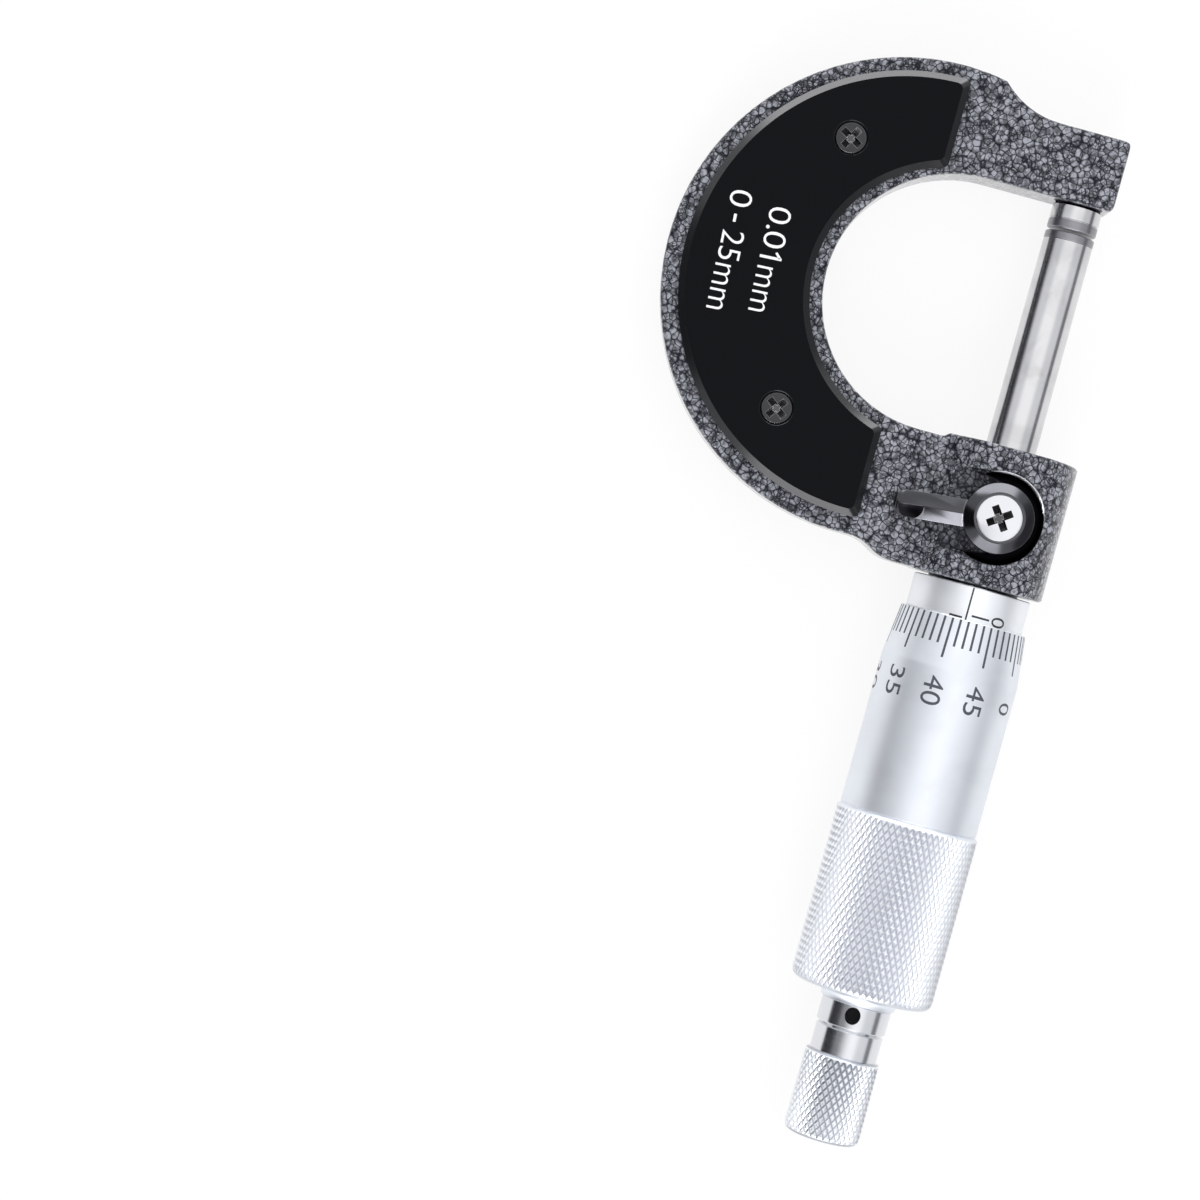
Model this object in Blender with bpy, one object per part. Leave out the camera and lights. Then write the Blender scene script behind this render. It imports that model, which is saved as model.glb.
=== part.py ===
# Outside micrometer, 0 to 25 mm, with a ratchet stop and a lever lock.
# The pieces are laid out from the middle of the anvil's measuring face. X runs along
# the spindle from the anvil to the ratchet, the bow of the frame lies towards -Y, and
# +Z is the face with the grip plate and the lock lever. The last step moves them so
# that the origin is on the same axis, at the flat outer end of the anvil block.
# Everything is in metres.

from math import acos, asin, atan2, cos, pi, radians, sin, sqrt

import bmesh
import bpy
from mathutils import Matrix, Vector

MM = 0.001

# Measuring range and the opening at rest
TRAVEL = 25.0 * MM
OPENING = 0.415 * MM

# Fits
RUNNING_FIT = 0.04 * MM
SEAT_FIT = 0.02 * MM

# Frame casting
FRAME_THICKNESS = 9.0 * MM
FRAME_EDGE_ROUND = 0.9 * MM
THROAT_RADIUS = 16.73 * MM
THROAT_DEPTH = 12.69 * MM
BOW_SPAN = 14.47 * MM
BOW_SHIFT_X = 1.11 * MM
BOW_SHIFT_Y = 6.46 * MM
ANVIL_BLOCK_LENGTH = 9.4 * MM
ANVIL_BLOCK_SIDE = 4.16 * MM
ANVIL_BLOCK_CORNER = 0.7 * MM
SHOULDER_START = 5.4 * MM
SHOULDER_END = 13.476 * MM
BARREL_RADIUS = 9.1 * MM
BARREL_FLAT_DROP = 1.2 * MM
BARREL_LENGTH = 18.1 * MM
BARREL_PROUD = 0.58 * MM
BARREL_EDGE = 0.6 * MM
BARREL_FILLET = 1.5 * MM
FILLET_SINK = 0.15 * MM
HEEL_LENGTH = 11.4 * MM
HEEL_RUN = 6.2 * MM
HEEL_SETBACK = 0.1 * MM
BACK_POCKET_DEPTH = 0.8 * MM
BACK_POCKET_MARGIN = 0.6 * MM

# Anvil
ANVIL_PROTRUSION = 3.38 * MM
ANVIL_SHANK_RADIUS = 2.5 * MM
ANVIL_SHANK_LENGTH = 7.0 * MM
ANVIL_TIP_LENGTH = 1.2 * MM
ANVIL_SHOULDER_CHAMFER = 0.2 * MM

# Spindle
SPINDLE_RADIUS = 3.25 * MM
SPINDLE_TIP_LENGTH = 1.0 * MM
SPINDLE_THREAD_RADIUS = 3.7 * MM
SPINDLE_RELIEF = 1.2 * MM
SPINDLE_END_SETBACK = 1.6 * MM
SPINDLE_TAPER_LENGTH = 5.3 * MM
SPINDLE_TAPER_LARGE = 3.6 * MM
SPINDLE_TAPER_SMALL = 3.0 * MM
TIP_CHAMFER = 0.12 * MM

# Inner sleeve and adjusting nut
INNER_SPIGOT_RADIUS = 5.0 * MM
INNER_SPIGOT_LENGTH = 5.5 * MM
INNER_SLEEVE_RADIUS = 6.0 * MM
INNER_BEYOND_TRAVEL = 18.3 * MM
INNER_GUIDE_CLEAR = 1.4 * MM
INNER_THREAD_LENGTH = 17.0 * MM
INNER_THREAD_RELIEF = 0.1 * MM
INNER_TAPER_LENGTH = 7.0 * MM
INNER_TAPER_DROP = 0.5 * MM
SLIT_COUNT = 3
SLIT_WIDTH = 0.6 * MM
SLIT_LENGTH = 9.0 * MM
NUT_RADIUS = 7.2 * MM
NUT_LENGTH = 4.3 * MM
NUT_END_GAP = 1.5 * MM
NUT_NOTCH_WIDTH = 1.4 * MM
NUT_NOTCH_DEPTH = 0.7 * MM
NUT_NOTCH_COUNT = 4

# Graduated sleeve
SLEEVE_RADIUS = 7.75 * MM
SLEEVE_GAP = 0.3 * MM
SLEEVE_COVER = 3.115 * MM

# Thimble
THIMBLE_SETBACK = 4.285 * MM
THIMBLE_EDGE_RADIUS = 8.3 * MM
THIMBLE_RADIUS = 9.1 * MM
THIMBLE_BEVEL_LENGTH = 6.8 * MM
GRIP_BEYOND_TRAVEL = 2.1 * MM
GRIP_RADIUS = 9.45 * MM
GRIP_LENGTH = 23.4 * MM
GRIP_STEP = 0.35 * MM
GRIP_END_ROUND = 1.2 * MM
NECK_RADIUS = 4.9 * MM
NECK_LENGTH = 1.3 * MM
NECK_FILLET = 1.15 * MM
THIMBLE_END_WALL = 6.5 * MM

# Ratchet stop
BASE_RADIUS = 4.6 * MM
BASE_LENGTH = 3.3 * MM
BASE_EDGE = 0.15 * MM
BASE_STEM_RADIUS = 1.5 * MM
BASE_STEM_LENGTH = 10.5 * MM
BASE_SPIGOT_LENGTH = 0.8 * MM
SPANNER_HOLE_RADIUS = 1.0 * MM
SPANNER_HOLE_DEPTH = 1.7 * MM
SPANNER_HOLE_FROM_EDGE = 1.4 * MM
SPANNER_HOLE_TILT = 7.0
POST_RADIUS = 1.9 * MM
POST_FLAT_HALF = 1.5 * MM
KNOB_GAP = 0.3 * MM
KNOB_COLLAR_RADIUS = 4.45 * MM
KNOB_COLLAR_LENGTH = 3.5 * MM
KNOB_GRIP_START_RADIUS = 4.95 * MM
KNOB_GRIP_END_RADIUS = 5.05 * MM
KNOB_GRIP_LENGTH = 11.2 * MM
KNOB_GRIP_STEP = 0.3 * MM
KNOB_END_ROUND = 1.1 * MM
KNOB_CAVITY_RADIUS = 3.6 * MM
KNOB_REAR_WALL = 3.0 * MM
KNOB_END_POCKET = 3.4 * MM
TOOTH_COUNT = 12
TOOTH_HEIGHT = 0.5 * MM
TOOTH_CLEARANCE = 0.05 * MM
PAWL_LENGTH = 2.2 * MM
SPRING_WIRE_RADIUS = 0.2 * MM
SPRING_TURNS = 5.0
RATCHET_SCREW_RADIUS = 1.2 * MM
RATCHET_SCREW_LENGTH = 5.0 * MM
RATCHET_HEAD_RADIUS = 3.0 * MM
RATCHET_HEAD_DOME = 0.45 * MM
RATCHET_SLOT_WIDTH = 0.8 * MM
RATCHET_SLOT_DEPTH = 0.9 * MM
RATCHET_SLOT_TURN = 25.0

# Lever lock
LOCK_SLOT_RADIUS = 5.85 * MM
LOCK_SLOT_MOUTH = 5.1 * MM
LOCK_FLOOR_WALL = 1.28 * MM
LOCK_BEFORE_SPIGOT = 3.4 * MM
STUD_RADIUS = 2.0 * MM
SHOE_RADIUS = 1.95 * MM
SHOE_LENGTH = 1.5 * MM
SHOE_GAP = 0.09 * MM
STUD_GAP = 0.06 * MM
HUB_RADIUS = 4.55 * MM
HUB_HEIGHT = 3.6 * MM
HUB_CHAMFER_WIDTH = 1.25 * MM
HUB_CHAMFER_HEIGHT = 0.9 * MM
HUB_FLOOR_GAP = 0.1 * MM
LEVER_LENGTH = 13.4 * MM
LEVER_HALF_WIDTH = 1.75 * MM
LEVER_SIDE_HEIGHT = 0.9 * MM
LEVER_RIDGE_HEIGHT = 1.8 * MM
LEVER_DROP = 1.2 * MM
LEVER_DROP_START = 9.4 * MM
LEVER_ANGLE = 5.6
SCOOP_RADIUS = 2.3 * MM
SCOOP_SIDE = 0.96 * MM
SCOOP_FROM_TIP = 2.54 * MM
SCOOP_ABOVE_RIDGE = 0.66 * MM
LOCK_SCREW_HEAD_RADIUS = 3.0 * MM
LOCK_SCREW_HEAD_HEIGHT = 0.8 * MM
LOCK_SCREW_HEAD_DOME = 0.2 * MM
LOCK_SCREW_SHANK_RADIUS = 1.25 * MM
LOCK_SCREW_SHANK_LENGTH = 2.6 * MM
LOCK_CROSS_REACH = 1.5 * MM
LOCK_CROSS_WIDTH = 0.55 * MM
LOCK_CROSS_DEPTH = 0.5 * MM
LOCK_CROSS_TURN = 35.0

# Grip plate and its screws
PLATE_THICKNESS = 1.4 * MM
PLATE_RIM_OUTSIDE = 2.3 * MM
PLATE_RIM_INSIDE = 1.77 * MM
PLATE_END = 17.2 * MM
PLATE_CORNER = 0.8 * MM
PLATE_BEVEL = 0.7 * MM
PLATE_SCREW_SPREAD = 18.0 * MM
PLATE_SCREW_OFFSET = 31.0 * MM
PLATE_SCREW_HEAD_RADIUS = 2.2 * MM
PLATE_SCREW_HEAD_HEIGHT = 1.0 * MM
PLATE_SCREW_SHANK_RADIUS = 1.0 * MM
PLATE_SCREW_SHANK_LENGTH = 4.4 * MM
PLATE_SCREW_SUNK = 0.08 * MM
PLATE_SCREW_LAND = 0.15 * MM
PLATE_CROSS_REACH = 1.25 * MM
PLATE_CROSS_WIDTH = 0.42 * MM
PLATE_CROSS_DEPTH = 0.45 * MM
ANVIL_SIDE_CROSS_TURN = 20.0
THIMBLE_SIDE_CROSS_TURN = 52.0
HEAD_SEAT_FIT = 0.06 * MM

# A cross recess narrows to these shares of its mouth
CROSS_REACH_SHARE = 0.4
CROSS_WIDTH_SHARE = 0.7

# Facets on round pieces, corners and edges, how far a cutter runs past what it cuts, and a pivot's arrows
FINE_STEPS = 56
ROUND_STEPS = 36
SMALL_STEPS = 24
CORNER_STEPS = 4
TOOTH_STEPS = 3
SPRING_STEPS = 12
LEVER_TIP_STEPS = 5
OVERCUT = 1.0 * MM
PIVOT_ARROWS = 5.0 * MM

# Places that follow from the sizes above
HALF_THICKNESS = FRAME_THICKNESS / 2
THROAT_X = THROAT_RADIUS - ANVIL_PROTRUSION
THROAT_Y = -THROAT_DEPTH
BOW_RADIUS = THROAT_RADIUS + BOW_SPAN
BOW_X = THROAT_X + BOW_SHIFT_X
BOW_Y = THROAT_Y - BOW_SHIFT_Y
BARREL_START = THROAT_X + THROAT_RADIUS - BARREL_PROUD
BARREL_END = BARREL_START + BARREL_LENGTH
BARREL_FLAT_HEIGHT = BARREL_RADIUS - BARREL_FLAT_DROP
SPIGOT_START = BARREL_END - INNER_SPIGOT_LENGTH
LOCK_X = SPIGOT_START - LOCK_BEFORE_SPIGOT
LOCK_FLOOR = INNER_SPIGOT_RADIUS + SEAT_FIT + LOCK_FLOOR_WALL
HUB_BOTTOM = LOCK_FLOOR + HUB_FLOOR_GAP
HUB_TOP = HUB_BOTTOM + HUB_HEIGHT
INNER_SLEEVE_START = BARREL_END + SEAT_FIT
INNER_SLEEVE_END = INNER_SLEEVE_START + TRAVEL + INNER_BEYOND_TRAVEL
SLEEVE_START = BARREL_END + SLEEVE_GAP
SLEEVE_END = BARREL_END + THIMBLE_SETBACK + TRAVEL + SLEEVE_COVER
THIMBLE_START = BARREL_END + THIMBLE_SETBACK + OPENING
GRIP_START = THIMBLE_START + TRAVEL + GRIP_BEYOND_TRAVEL
GRIP_END = GRIP_START + GRIP_LENGTH
THIMBLE_END = GRIP_END + NECK_LENGTH
SPINDLE_START = OPENING + SPINDLE_TIP_LENGTH + SEAT_FIT
SPINDLE_END = THIMBLE_END - SPINDLE_END_SETBACK
TAPER_START = SPINDLE_END - SPINDLE_TAPER_LENGTH
SPINDLE_THREAD_END = TAPER_START - SPINDLE_RELIEF
SPINDLE_THREAD_START = SPINDLE_THREAD_END - TRAVEL - INNER_THREAD_LENGTH
THIMBLE_BORE = SLEEVE_RADIUS + 2 * RUNNING_FIT
BASE_START = THIMBLE_END + SEAT_FIT
BASE_END = BASE_START + BASE_LENGTH
KNOB_START = BASE_END + KNOB_GAP
KNOB_GRIP_START = KNOB_START + KNOB_COLLAR_LENGTH
KNOB_END = KNOB_GRIP_START + KNOB_GRIP_LENGTH
KNOB_WALL_END = KNOB_END - KNOB_END_POCKET
KNOB_WALL_START = KNOB_WALL_END - KNOB_REAR_WALL
TOOTH_ROOT = KNOB_WALL_START - TOOTH_HEIGHT - TOOTH_CLEARANCE
PAWL_START = TOOTH_ROOT - PAWL_LENGTH
STEM_HOLE_RADIUS = BASE_STEM_RADIUS + SEAT_FIT
PLATE_BOTTOM = HALF_THICKNESS + SEAT_FIT
PLATE_TOP = PLATE_BOTTOM + PLATE_THICKNESS


def clear_scene():
    for obj in list(bpy.data.objects):
        bpy.data.objects.remove(obj, do_unlink=True)


def make_material(name, colour, roughness, metallic):
    material = bpy.data.materials.new(name)
    material.use_nodes = True
    shader = material.node_tree.nodes["Principled BSDF"]
    shader.inputs["Base Color"].default_value = (*colour, 1.0)
    shader.inputs["Roughness"].default_value = roughness
    shader.inputs["Metallic"].default_value = metallic
    return material


def polar(centre, radius, angle):
    return (centre[0] + radius * cos(angle), centre[1] + radius * sin(angle))


def arc(centre, radius, start, end, steps):
    """Points on an arc from one angle to another, both ends included."""
    return [polar(centre, radius, start + (end - start) * i / steps) for i in range(steps + 1)]


def round_corners(points, radius, steps, keep=()):
    """The outline with each corner turned into an arc, apart from those listed in keep."""
    rounded = []
    count = len(points)
    for i, point in enumerate(points):
        corner = Vector(point)
        before = (Vector(points[i - 1]) - corner).normalized()
        after = (Vector(points[(i + 1) % count]) - corner).normalized()
        if i in keep:
            rounded.append(point)
            continue
        half = acos(max(-1.0, min(1.0, before.dot(after)))) / 2
        centre = corner + (before + after).normalized() * radius / sin(half)
        first = corner + before * radius / (sin(half) / cos(half)) - centre
        last = corner + after * radius / (sin(half) / cos(half)) - centre
        start = atan2(first.y, first.x)
        turn = atan2(last.y, last.x) - start
        turn = (turn + pi) % (2 * pi) - pi
        rounded.extend(arc(centre, radius, start, start + turn, steps))
    return rounded


def new_object(name, mesh, material=None, location=(0, 0, 0), parent=None):
    obj = bpy.data.objects.new(name, mesh)
    bpy.context.collection.objects.link(obj)
    obj.location = location
    if parent is not None:
        obj.parent = parent
        obj.location = Vector(location) - parent.location
    if material is not None:
        mesh.materials.append(material)
        mesh.shade_smooth()
        mesh.set_sharp_from_angle(angle=radians(32))
    return obj


def mesh_from(bm, name):
    """Ends a bmesh: doubled points merged and faces turned outwards."""
    bmesh.ops.remove_doubles(bm, verts=bm.verts, dist=1e-7)
    bmesh.ops.recalc_face_normals(bm, faces=bm.faces)
    mesh = bpy.data.meshes.new(name)
    bm.to_mesh(mesh)
    bm.free()
    return mesh


def turned_mesh(name, profile, axis, segments, hollow):
    """Spins a profile of (place on the axis, radius) round X or Z. A hollow one is a closed loop."""
    bm = bmesh.new()
    if axis == "X":
        points = [bm.verts.new((along, 0, radius)) for along, radius in profile]
        direction = (1, 0, 0)
    else:
        points = [bm.verts.new((radius, 0, along)) for along, radius in profile]
        direction = (0, 0, 1)
    edges = [bm.edges.new(pair) for pair in zip(points, points[1:])]
    if hollow:
        edges.append(bm.edges.new((points[-1], points[0])))
    bmesh.ops.spin(
        bm,
        geom=points + edges,
        cent=(0, 0, 0),
        axis=direction,
        dvec=(0, 0, 0),
        angle=2 * pi,
        steps=segments,
        use_merge=True,
    )
    return mesh_from(bm, name)


def prism_mesh(name, outline, start, end, plane="XY", bevel=0.0, bevel_steps=2, bevel_both=True):
    """Pushes an outline from one level to another, with its end edges rounded if asked."""
    bm = bmesh.new()
    if plane == "XY":
        points = [bm.verts.new((a, b, start)) for a, b in outline]
        push = Vector((0, 0, end - start))
    else:
        points = [bm.verts.new((start, a, b)) for a, b in outline]
        push = Vector((end - start, 0, 0))
    base = bm.faces.new(points)
    pushed = bmesh.ops.extrude_face_region(bm, geom=[base])
    top_points = [item for item in pushed["geom"] if isinstance(item, bmesh.types.BMVert)]
    top_edges = [item for item in pushed["geom"] if isinstance(item, bmesh.types.BMEdge)]
    bmesh.ops.translate(bm, verts=top_points, vec=push)
    if bevel > 0:
        chosen = list(top_edges)
        if bevel_both:
            chosen += list(base.edges)
        bmesh.ops.bevel(
            bm,
            geom=chosen,
            offset=bevel,
            segments=bevel_steps,
            profile=0.5,
            affect="EDGES",
            clamp_overlap=True,
        )
        bmesh.ops.triangulate(bm, faces=bm.faces)
    return mesh_from(bm, name)


def boxes_mesh(name, boxes):
    """One mesh of separate boxes, each given by its size and its placing matrix."""
    bm = bmesh.new()
    for size, placing in boxes:
        scale = Matrix.Diagonal((*size, 1.0))
        bmesh.ops.create_cube(bm, size=1.0, matrix=placing @ scale)
    return mesh_from(bm, name)


def cutter(name, mesh, location=(0, 0, 0)):
    obj = new_object(name, mesh, location=location)
    obj.hide_render = True
    obj.display_type = "WIRE"
    return obj


def combine(target, tool, operation):
    modifier = target.modifiers.new(tool.name, "BOOLEAN")
    modifier.operation = operation
    modifier.solver = "EXACT"
    modifier.object = tool


def cut(target, name, mesh, location=(0, 0, 0)):
    combine(target, cutter(name, mesh, location), "DIFFERENCE")


def cylinder_profile(start, end, radius):
    return [(start, 0), (start, radius), (end, radius), (end, 0)]


def pivot(name, location):
    empty = bpy.data.objects.new(name, None)
    bpy.context.collection.objects.link(empty)
    empty.empty_display_size = PIVOT_ARROWS
    empty.location = location
    return empty


# Frame

def frame_outline():
    """The casting seen from the front, from the anvil block round the throat and the bow."""
    outer_x = -ANVIL_PROTRUSION - ANVIL_BLOCK_LENGTH
    inner_x = -ANVIL_PROTRUSION
    side = ANVIL_BLOCK_SIDE
    corner = ANVIL_BLOCK_CORNER
    throat = (THROAT_X, THROAT_Y)
    bow = (BOW_X, BOW_Y)
    heel_x = BARREL_END - HEEL_SETBACK
    points = arc((outer_x + corner, side - corner), corner, pi, pi / 2, CORNER_STEPS)
    points += arc((inner_x - corner, side - corner), corner, pi / 2, 0, CORNER_STEPS)
    points += arc(throat, THROAT_RADIUS, pi, 2 * pi, 32)
    points.append((THROAT_X + THROAT_RADIUS, 0))
    points.append((heel_x, 0))
    bow_low = heel_meets_bow()
    points += s_curve((heel_x, -HEEL_LENGTH), bow_low, 6)
    meet = (BOW_X - sqrt(BOW_RADIUS**2 - (SHOULDER_END + BOW_Y) ** 2), -SHOULDER_END)
    inward = outer_x - meet[0]
    shoulder_radius = (inward**2 + (SHOULDER_END - SHOULDER_START) ** 2) / (2 * inward)
    shoulder = (outer_x - shoulder_radius, -SHOULDER_START)
    start = atan2(bow_low[1] - BOW_Y, bow_low[0] - BOW_X)
    end = atan2(meet[1] - BOW_Y, meet[0] - BOW_X) - 2 * pi
    points += arc(bow, BOW_RADIUS, start, end, 42)[1:]
    shoulder_start = atan2(meet[1] - shoulder[1], meet[0] - shoulder[0])
    points += arc(shoulder, shoulder_radius, shoulder_start, 0, 9)[1:]
    return points


def heel_meets_bow():
    y = -HEEL_LENGTH - HEEL_RUN
    return (BOW_X + sqrt(BOW_RADIUS**2 - (y - BOW_Y) ** 2), y)


def s_curve(start, end, steps):
    """Two equal arcs, level along Y at both ends."""
    rise = start[0] - end[0]
    run = start[1] - end[1]
    turn = 2 * atan2(rise, run)
    radius = run / (2 * sin(turn))
    first = arc((start[0] - radius, start[1]), radius, 0, -turn, steps)
    second = arc((end[0] + radius, end[1]), radius, pi - turn, pi, steps)
    return first + second[1:]


def barrel_outline():
    """The barrel block seen along the spindle: a round body with two flats and fillets to the bow."""
    flat = asin(BARREL_FLAT_HEIGHT / BARREL_RADIUS)
    plane = HALF_THICKNESS - FILLET_SINK
    reach = BARREL_RADIUS + BARREL_FILLET
    centre_z = plane + BARREL_FILLET
    centre_y = -sqrt(reach**2 - centre_z**2)
    tangent = atan2(centre_z, centre_y)
    upper = arc((0, 0), BARREL_RADIUS, pi - flat, tangent, 6)
    back = atan2(-centre_z, -centre_y)
    upper += arc((centre_y, centre_z), BARREL_FILLET, back, -pi / 2, 4)[1:]
    lower = [(y, -z) for y, z in reversed(upper)]
    right = arc((0, 0), BARREL_RADIUS, -flat, flat, 16)
    return upper + lower + right


def plate_outline(inset):
    """The grip plate, between an arc round the bow and one round the throat, cut off straight."""
    outer = BOW_RADIUS - PLATE_RIM_OUTSIDE - inset
    inner = THROAT_RADIUS + PLATE_RIM_INSIDE + inset
    end_y = -PLATE_END - inset
    outer_turn = asin((end_y - BOW_Y) / outer)
    inner_turn = asin((THROAT_Y - end_y) / inner)
    outside = arc((BOW_X, BOW_Y), outer, outer_turn, -pi - outer_turn, 28)
    inside = arc((THROAT_X, THROAT_Y), inner, pi + inner_turn, 2 * pi - inner_turn, 20)
    points = outside + inside
    corners = (0, len(outside) - 1, len(outside), len(points) - 1)
    smooth = [i for i in range(len(points)) if i not in corners]
    return round_corners(points, PLATE_CORNER, CORNER_STEPS, smooth)


def plate_screw_places():
    return {
        "anvil_side": (BOW_X - PLATE_SCREW_SPREAD, -PLATE_SCREW_OFFSET),
        "thimble_side": (BOW_X + PLATE_SCREW_SPREAD, -PLATE_SCREW_OFFSET),
    }


def make_frame(paint):
    body = prism_mesh("frame", frame_outline(), -HALF_THICKNESS, HALF_THICKNESS, "XY", FRAME_EDGE_ROUND)
    frame = new_object("frame", body, paint)
    barrel = prism_mesh("barrel", barrel_outline(), BARREL_START, BARREL_END, "YZ", BARREL_EDGE, 2)
    combine(frame, cutter("barrel_block", barrel), "UNION")

    anvil_hole = cylinder_profile(-ANVIL_SHANK_LENGTH, OVERCUT, ANVIL_SHANK_RADIUS + SEAT_FIT)
    anvil_hole = turned_mesh("anvil_hole", anvil_hole, "X", ROUND_STEPS, False)
    cut(frame, "anvil_hole", anvil_hole, (-ANVIL_PROTRUSION, 0, 0))

    bore = SPINDLE_RADIUS + RUNNING_FIT
    seat = INNER_SPIGOT_RADIUS + SEAT_FIT
    barrel_bore = [
        (BARREL_START - OVERCUT, 0),
        (BARREL_START - OVERCUT, bore),
        (SPIGOT_START - SEAT_FIT, bore),
        (SPIGOT_START - SEAT_FIT, seat),
        (BARREL_END + OVERCUT, seat),
        (BARREL_END + OVERCUT, 0),
    ]
    cut(frame, "barrel_bore", turned_mesh("barrel_bore", barrel_bore, "X", ROUND_STEPS, False))

    reach = BARREL_RADIUS + OVERCUT
    slot = arc((0, 0), LOCK_SLOT_RADIUS, 0, pi, 20)
    slot += [(-LOCK_SLOT_MOUTH, -reach), (LOCK_SLOT_MOUTH, -reach)]
    slot = prism_mesh("lock_slot", slot, LOCK_FLOOR, BARREL_RADIUS + OVERCUT)
    cut(frame, "lock_slot", slot, (LOCK_X, 0, 0))

    stud_hole = cylinder_profile(0, LOCK_FLOOR + OVERCUT, STUD_RADIUS + RUNNING_FIT)
    cut(frame, "stud_hole", turned_mesh("stud_hole", stud_hole, "Z", SMALL_STEPS, False), (LOCK_X, 0, 0))

    pocket = prism_mesh(
        "back_pocket",
        plate_outline(BACK_POCKET_MARGIN),
        -HALF_THICKNESS - OVERCUT,
        -HALF_THICKNESS + BACK_POCKET_DEPTH,
    )
    cut(frame, "back_pocket", pocket)

    hole_depth = PLATE_SCREW_SHANK_LENGTH
    hole = cylinder_profile(-hole_depth, OVERCUT, PLATE_SCREW_SHANK_RADIUS + SEAT_FIT)
    for side, (x, y) in plate_screw_places().items():
        mesh = turned_mesh("plate_hole_" + side, hole, "Z", SMALL_STEPS, False)
        cut(frame, "plate_hole_" + side, mesh, (x, y, HALF_THICKNESS))
    return frame


def make_anvil(steel, carbide):
    head_start = SEAT_FIT - ANVIL_PROTRUSION
    tip_start = -ANVIL_TIP_LENGTH
    chamfer = ANVIL_SHOULDER_CHAMFER
    profile = [
        (SEAT_FIT - ANVIL_PROTRUSION - ANVIL_SHANK_LENGTH, 0),
        (SEAT_FIT - ANVIL_PROTRUSION - ANVIL_SHANK_LENGTH, ANVIL_SHANK_RADIUS),
        (head_start, ANVIL_SHANK_RADIUS),
        (head_start, SPINDLE_RADIUS - chamfer),
        (head_start + chamfer, SPINDLE_RADIUS),
        (tip_start - SEAT_FIT, SPINDLE_RADIUS),
        (tip_start - SEAT_FIT, 0),
    ]
    new_object("anvil", turned_mesh("anvil", profile, "X", ROUND_STEPS, False), steel)
    tip = [
        (tip_start, 0),
        (tip_start, SPINDLE_RADIUS),
        (-TIP_CHAMFER, SPINDLE_RADIUS),
        (0, SPINDLE_RADIUS - TIP_CHAMFER),
        (0, 0),
    ]
    new_object("anvil_tip", turned_mesh("anvil_tip", tip, "X", ROUND_STEPS, False), carbide)


# Spindle and sleeves

def make_spindle(steel, carbide):
    tip = [
        (0, 0),
        (0, SPINDLE_RADIUS - TIP_CHAMFER),
        (TIP_CHAMFER, SPINDLE_RADIUS),
        (SPINDLE_TIP_LENGTH, SPINDLE_RADIUS),
        (SPINDLE_TIP_LENGTH, 0),
    ]
    mesh = turned_mesh("spindle_tip", tip, "X", ROUND_STEPS, False)
    new_object("spindle_tip", mesh, carbide, (OPENING, 0, 0))
    step = SPINDLE_THREAD_RADIUS - SPINDLE_RADIUS
    hole_start = BASE_START - BASE_STEM_LENGTH - SEAT_FIT
    profile = [
        (SPINDLE_START, 0),
        (SPINDLE_START, SPINDLE_RADIUS),
        (SPINDLE_THREAD_START, SPINDLE_RADIUS),
        (SPINDLE_THREAD_START + step, SPINDLE_THREAD_RADIUS),
        (SPINDLE_THREAD_END - step, SPINDLE_THREAD_RADIUS),
        (SPINDLE_THREAD_END, SPINDLE_RADIUS),
        (TAPER_START, SPINDLE_RADIUS),
        (TAPER_START, SPINDLE_TAPER_LARGE),
        (SPINDLE_END, SPINDLE_TAPER_SMALL),
        (SPINDLE_END, STEM_HOLE_RADIUS),
        (hole_start, STEM_HOLE_RADIUS),
        (hole_start, 0),
    ]
    profile = [(x - SPINDLE_START, radius) for x, radius in profile]
    mesh = turned_mesh("spindle", profile, "X", ROUND_STEPS, False)
    new_object("spindle", mesh, steel, (SPINDLE_START, 0, 0))


def taper_radius(x):
    """The outside of the inner sleeve's tapered, slit end."""
    share = (x - (INNER_SLEEVE_END - INNER_TAPER_LENGTH)) / INNER_TAPER_LENGTH
    return INNER_SLEEVE_RADIUS - INNER_TAPER_DROP * share


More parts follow.
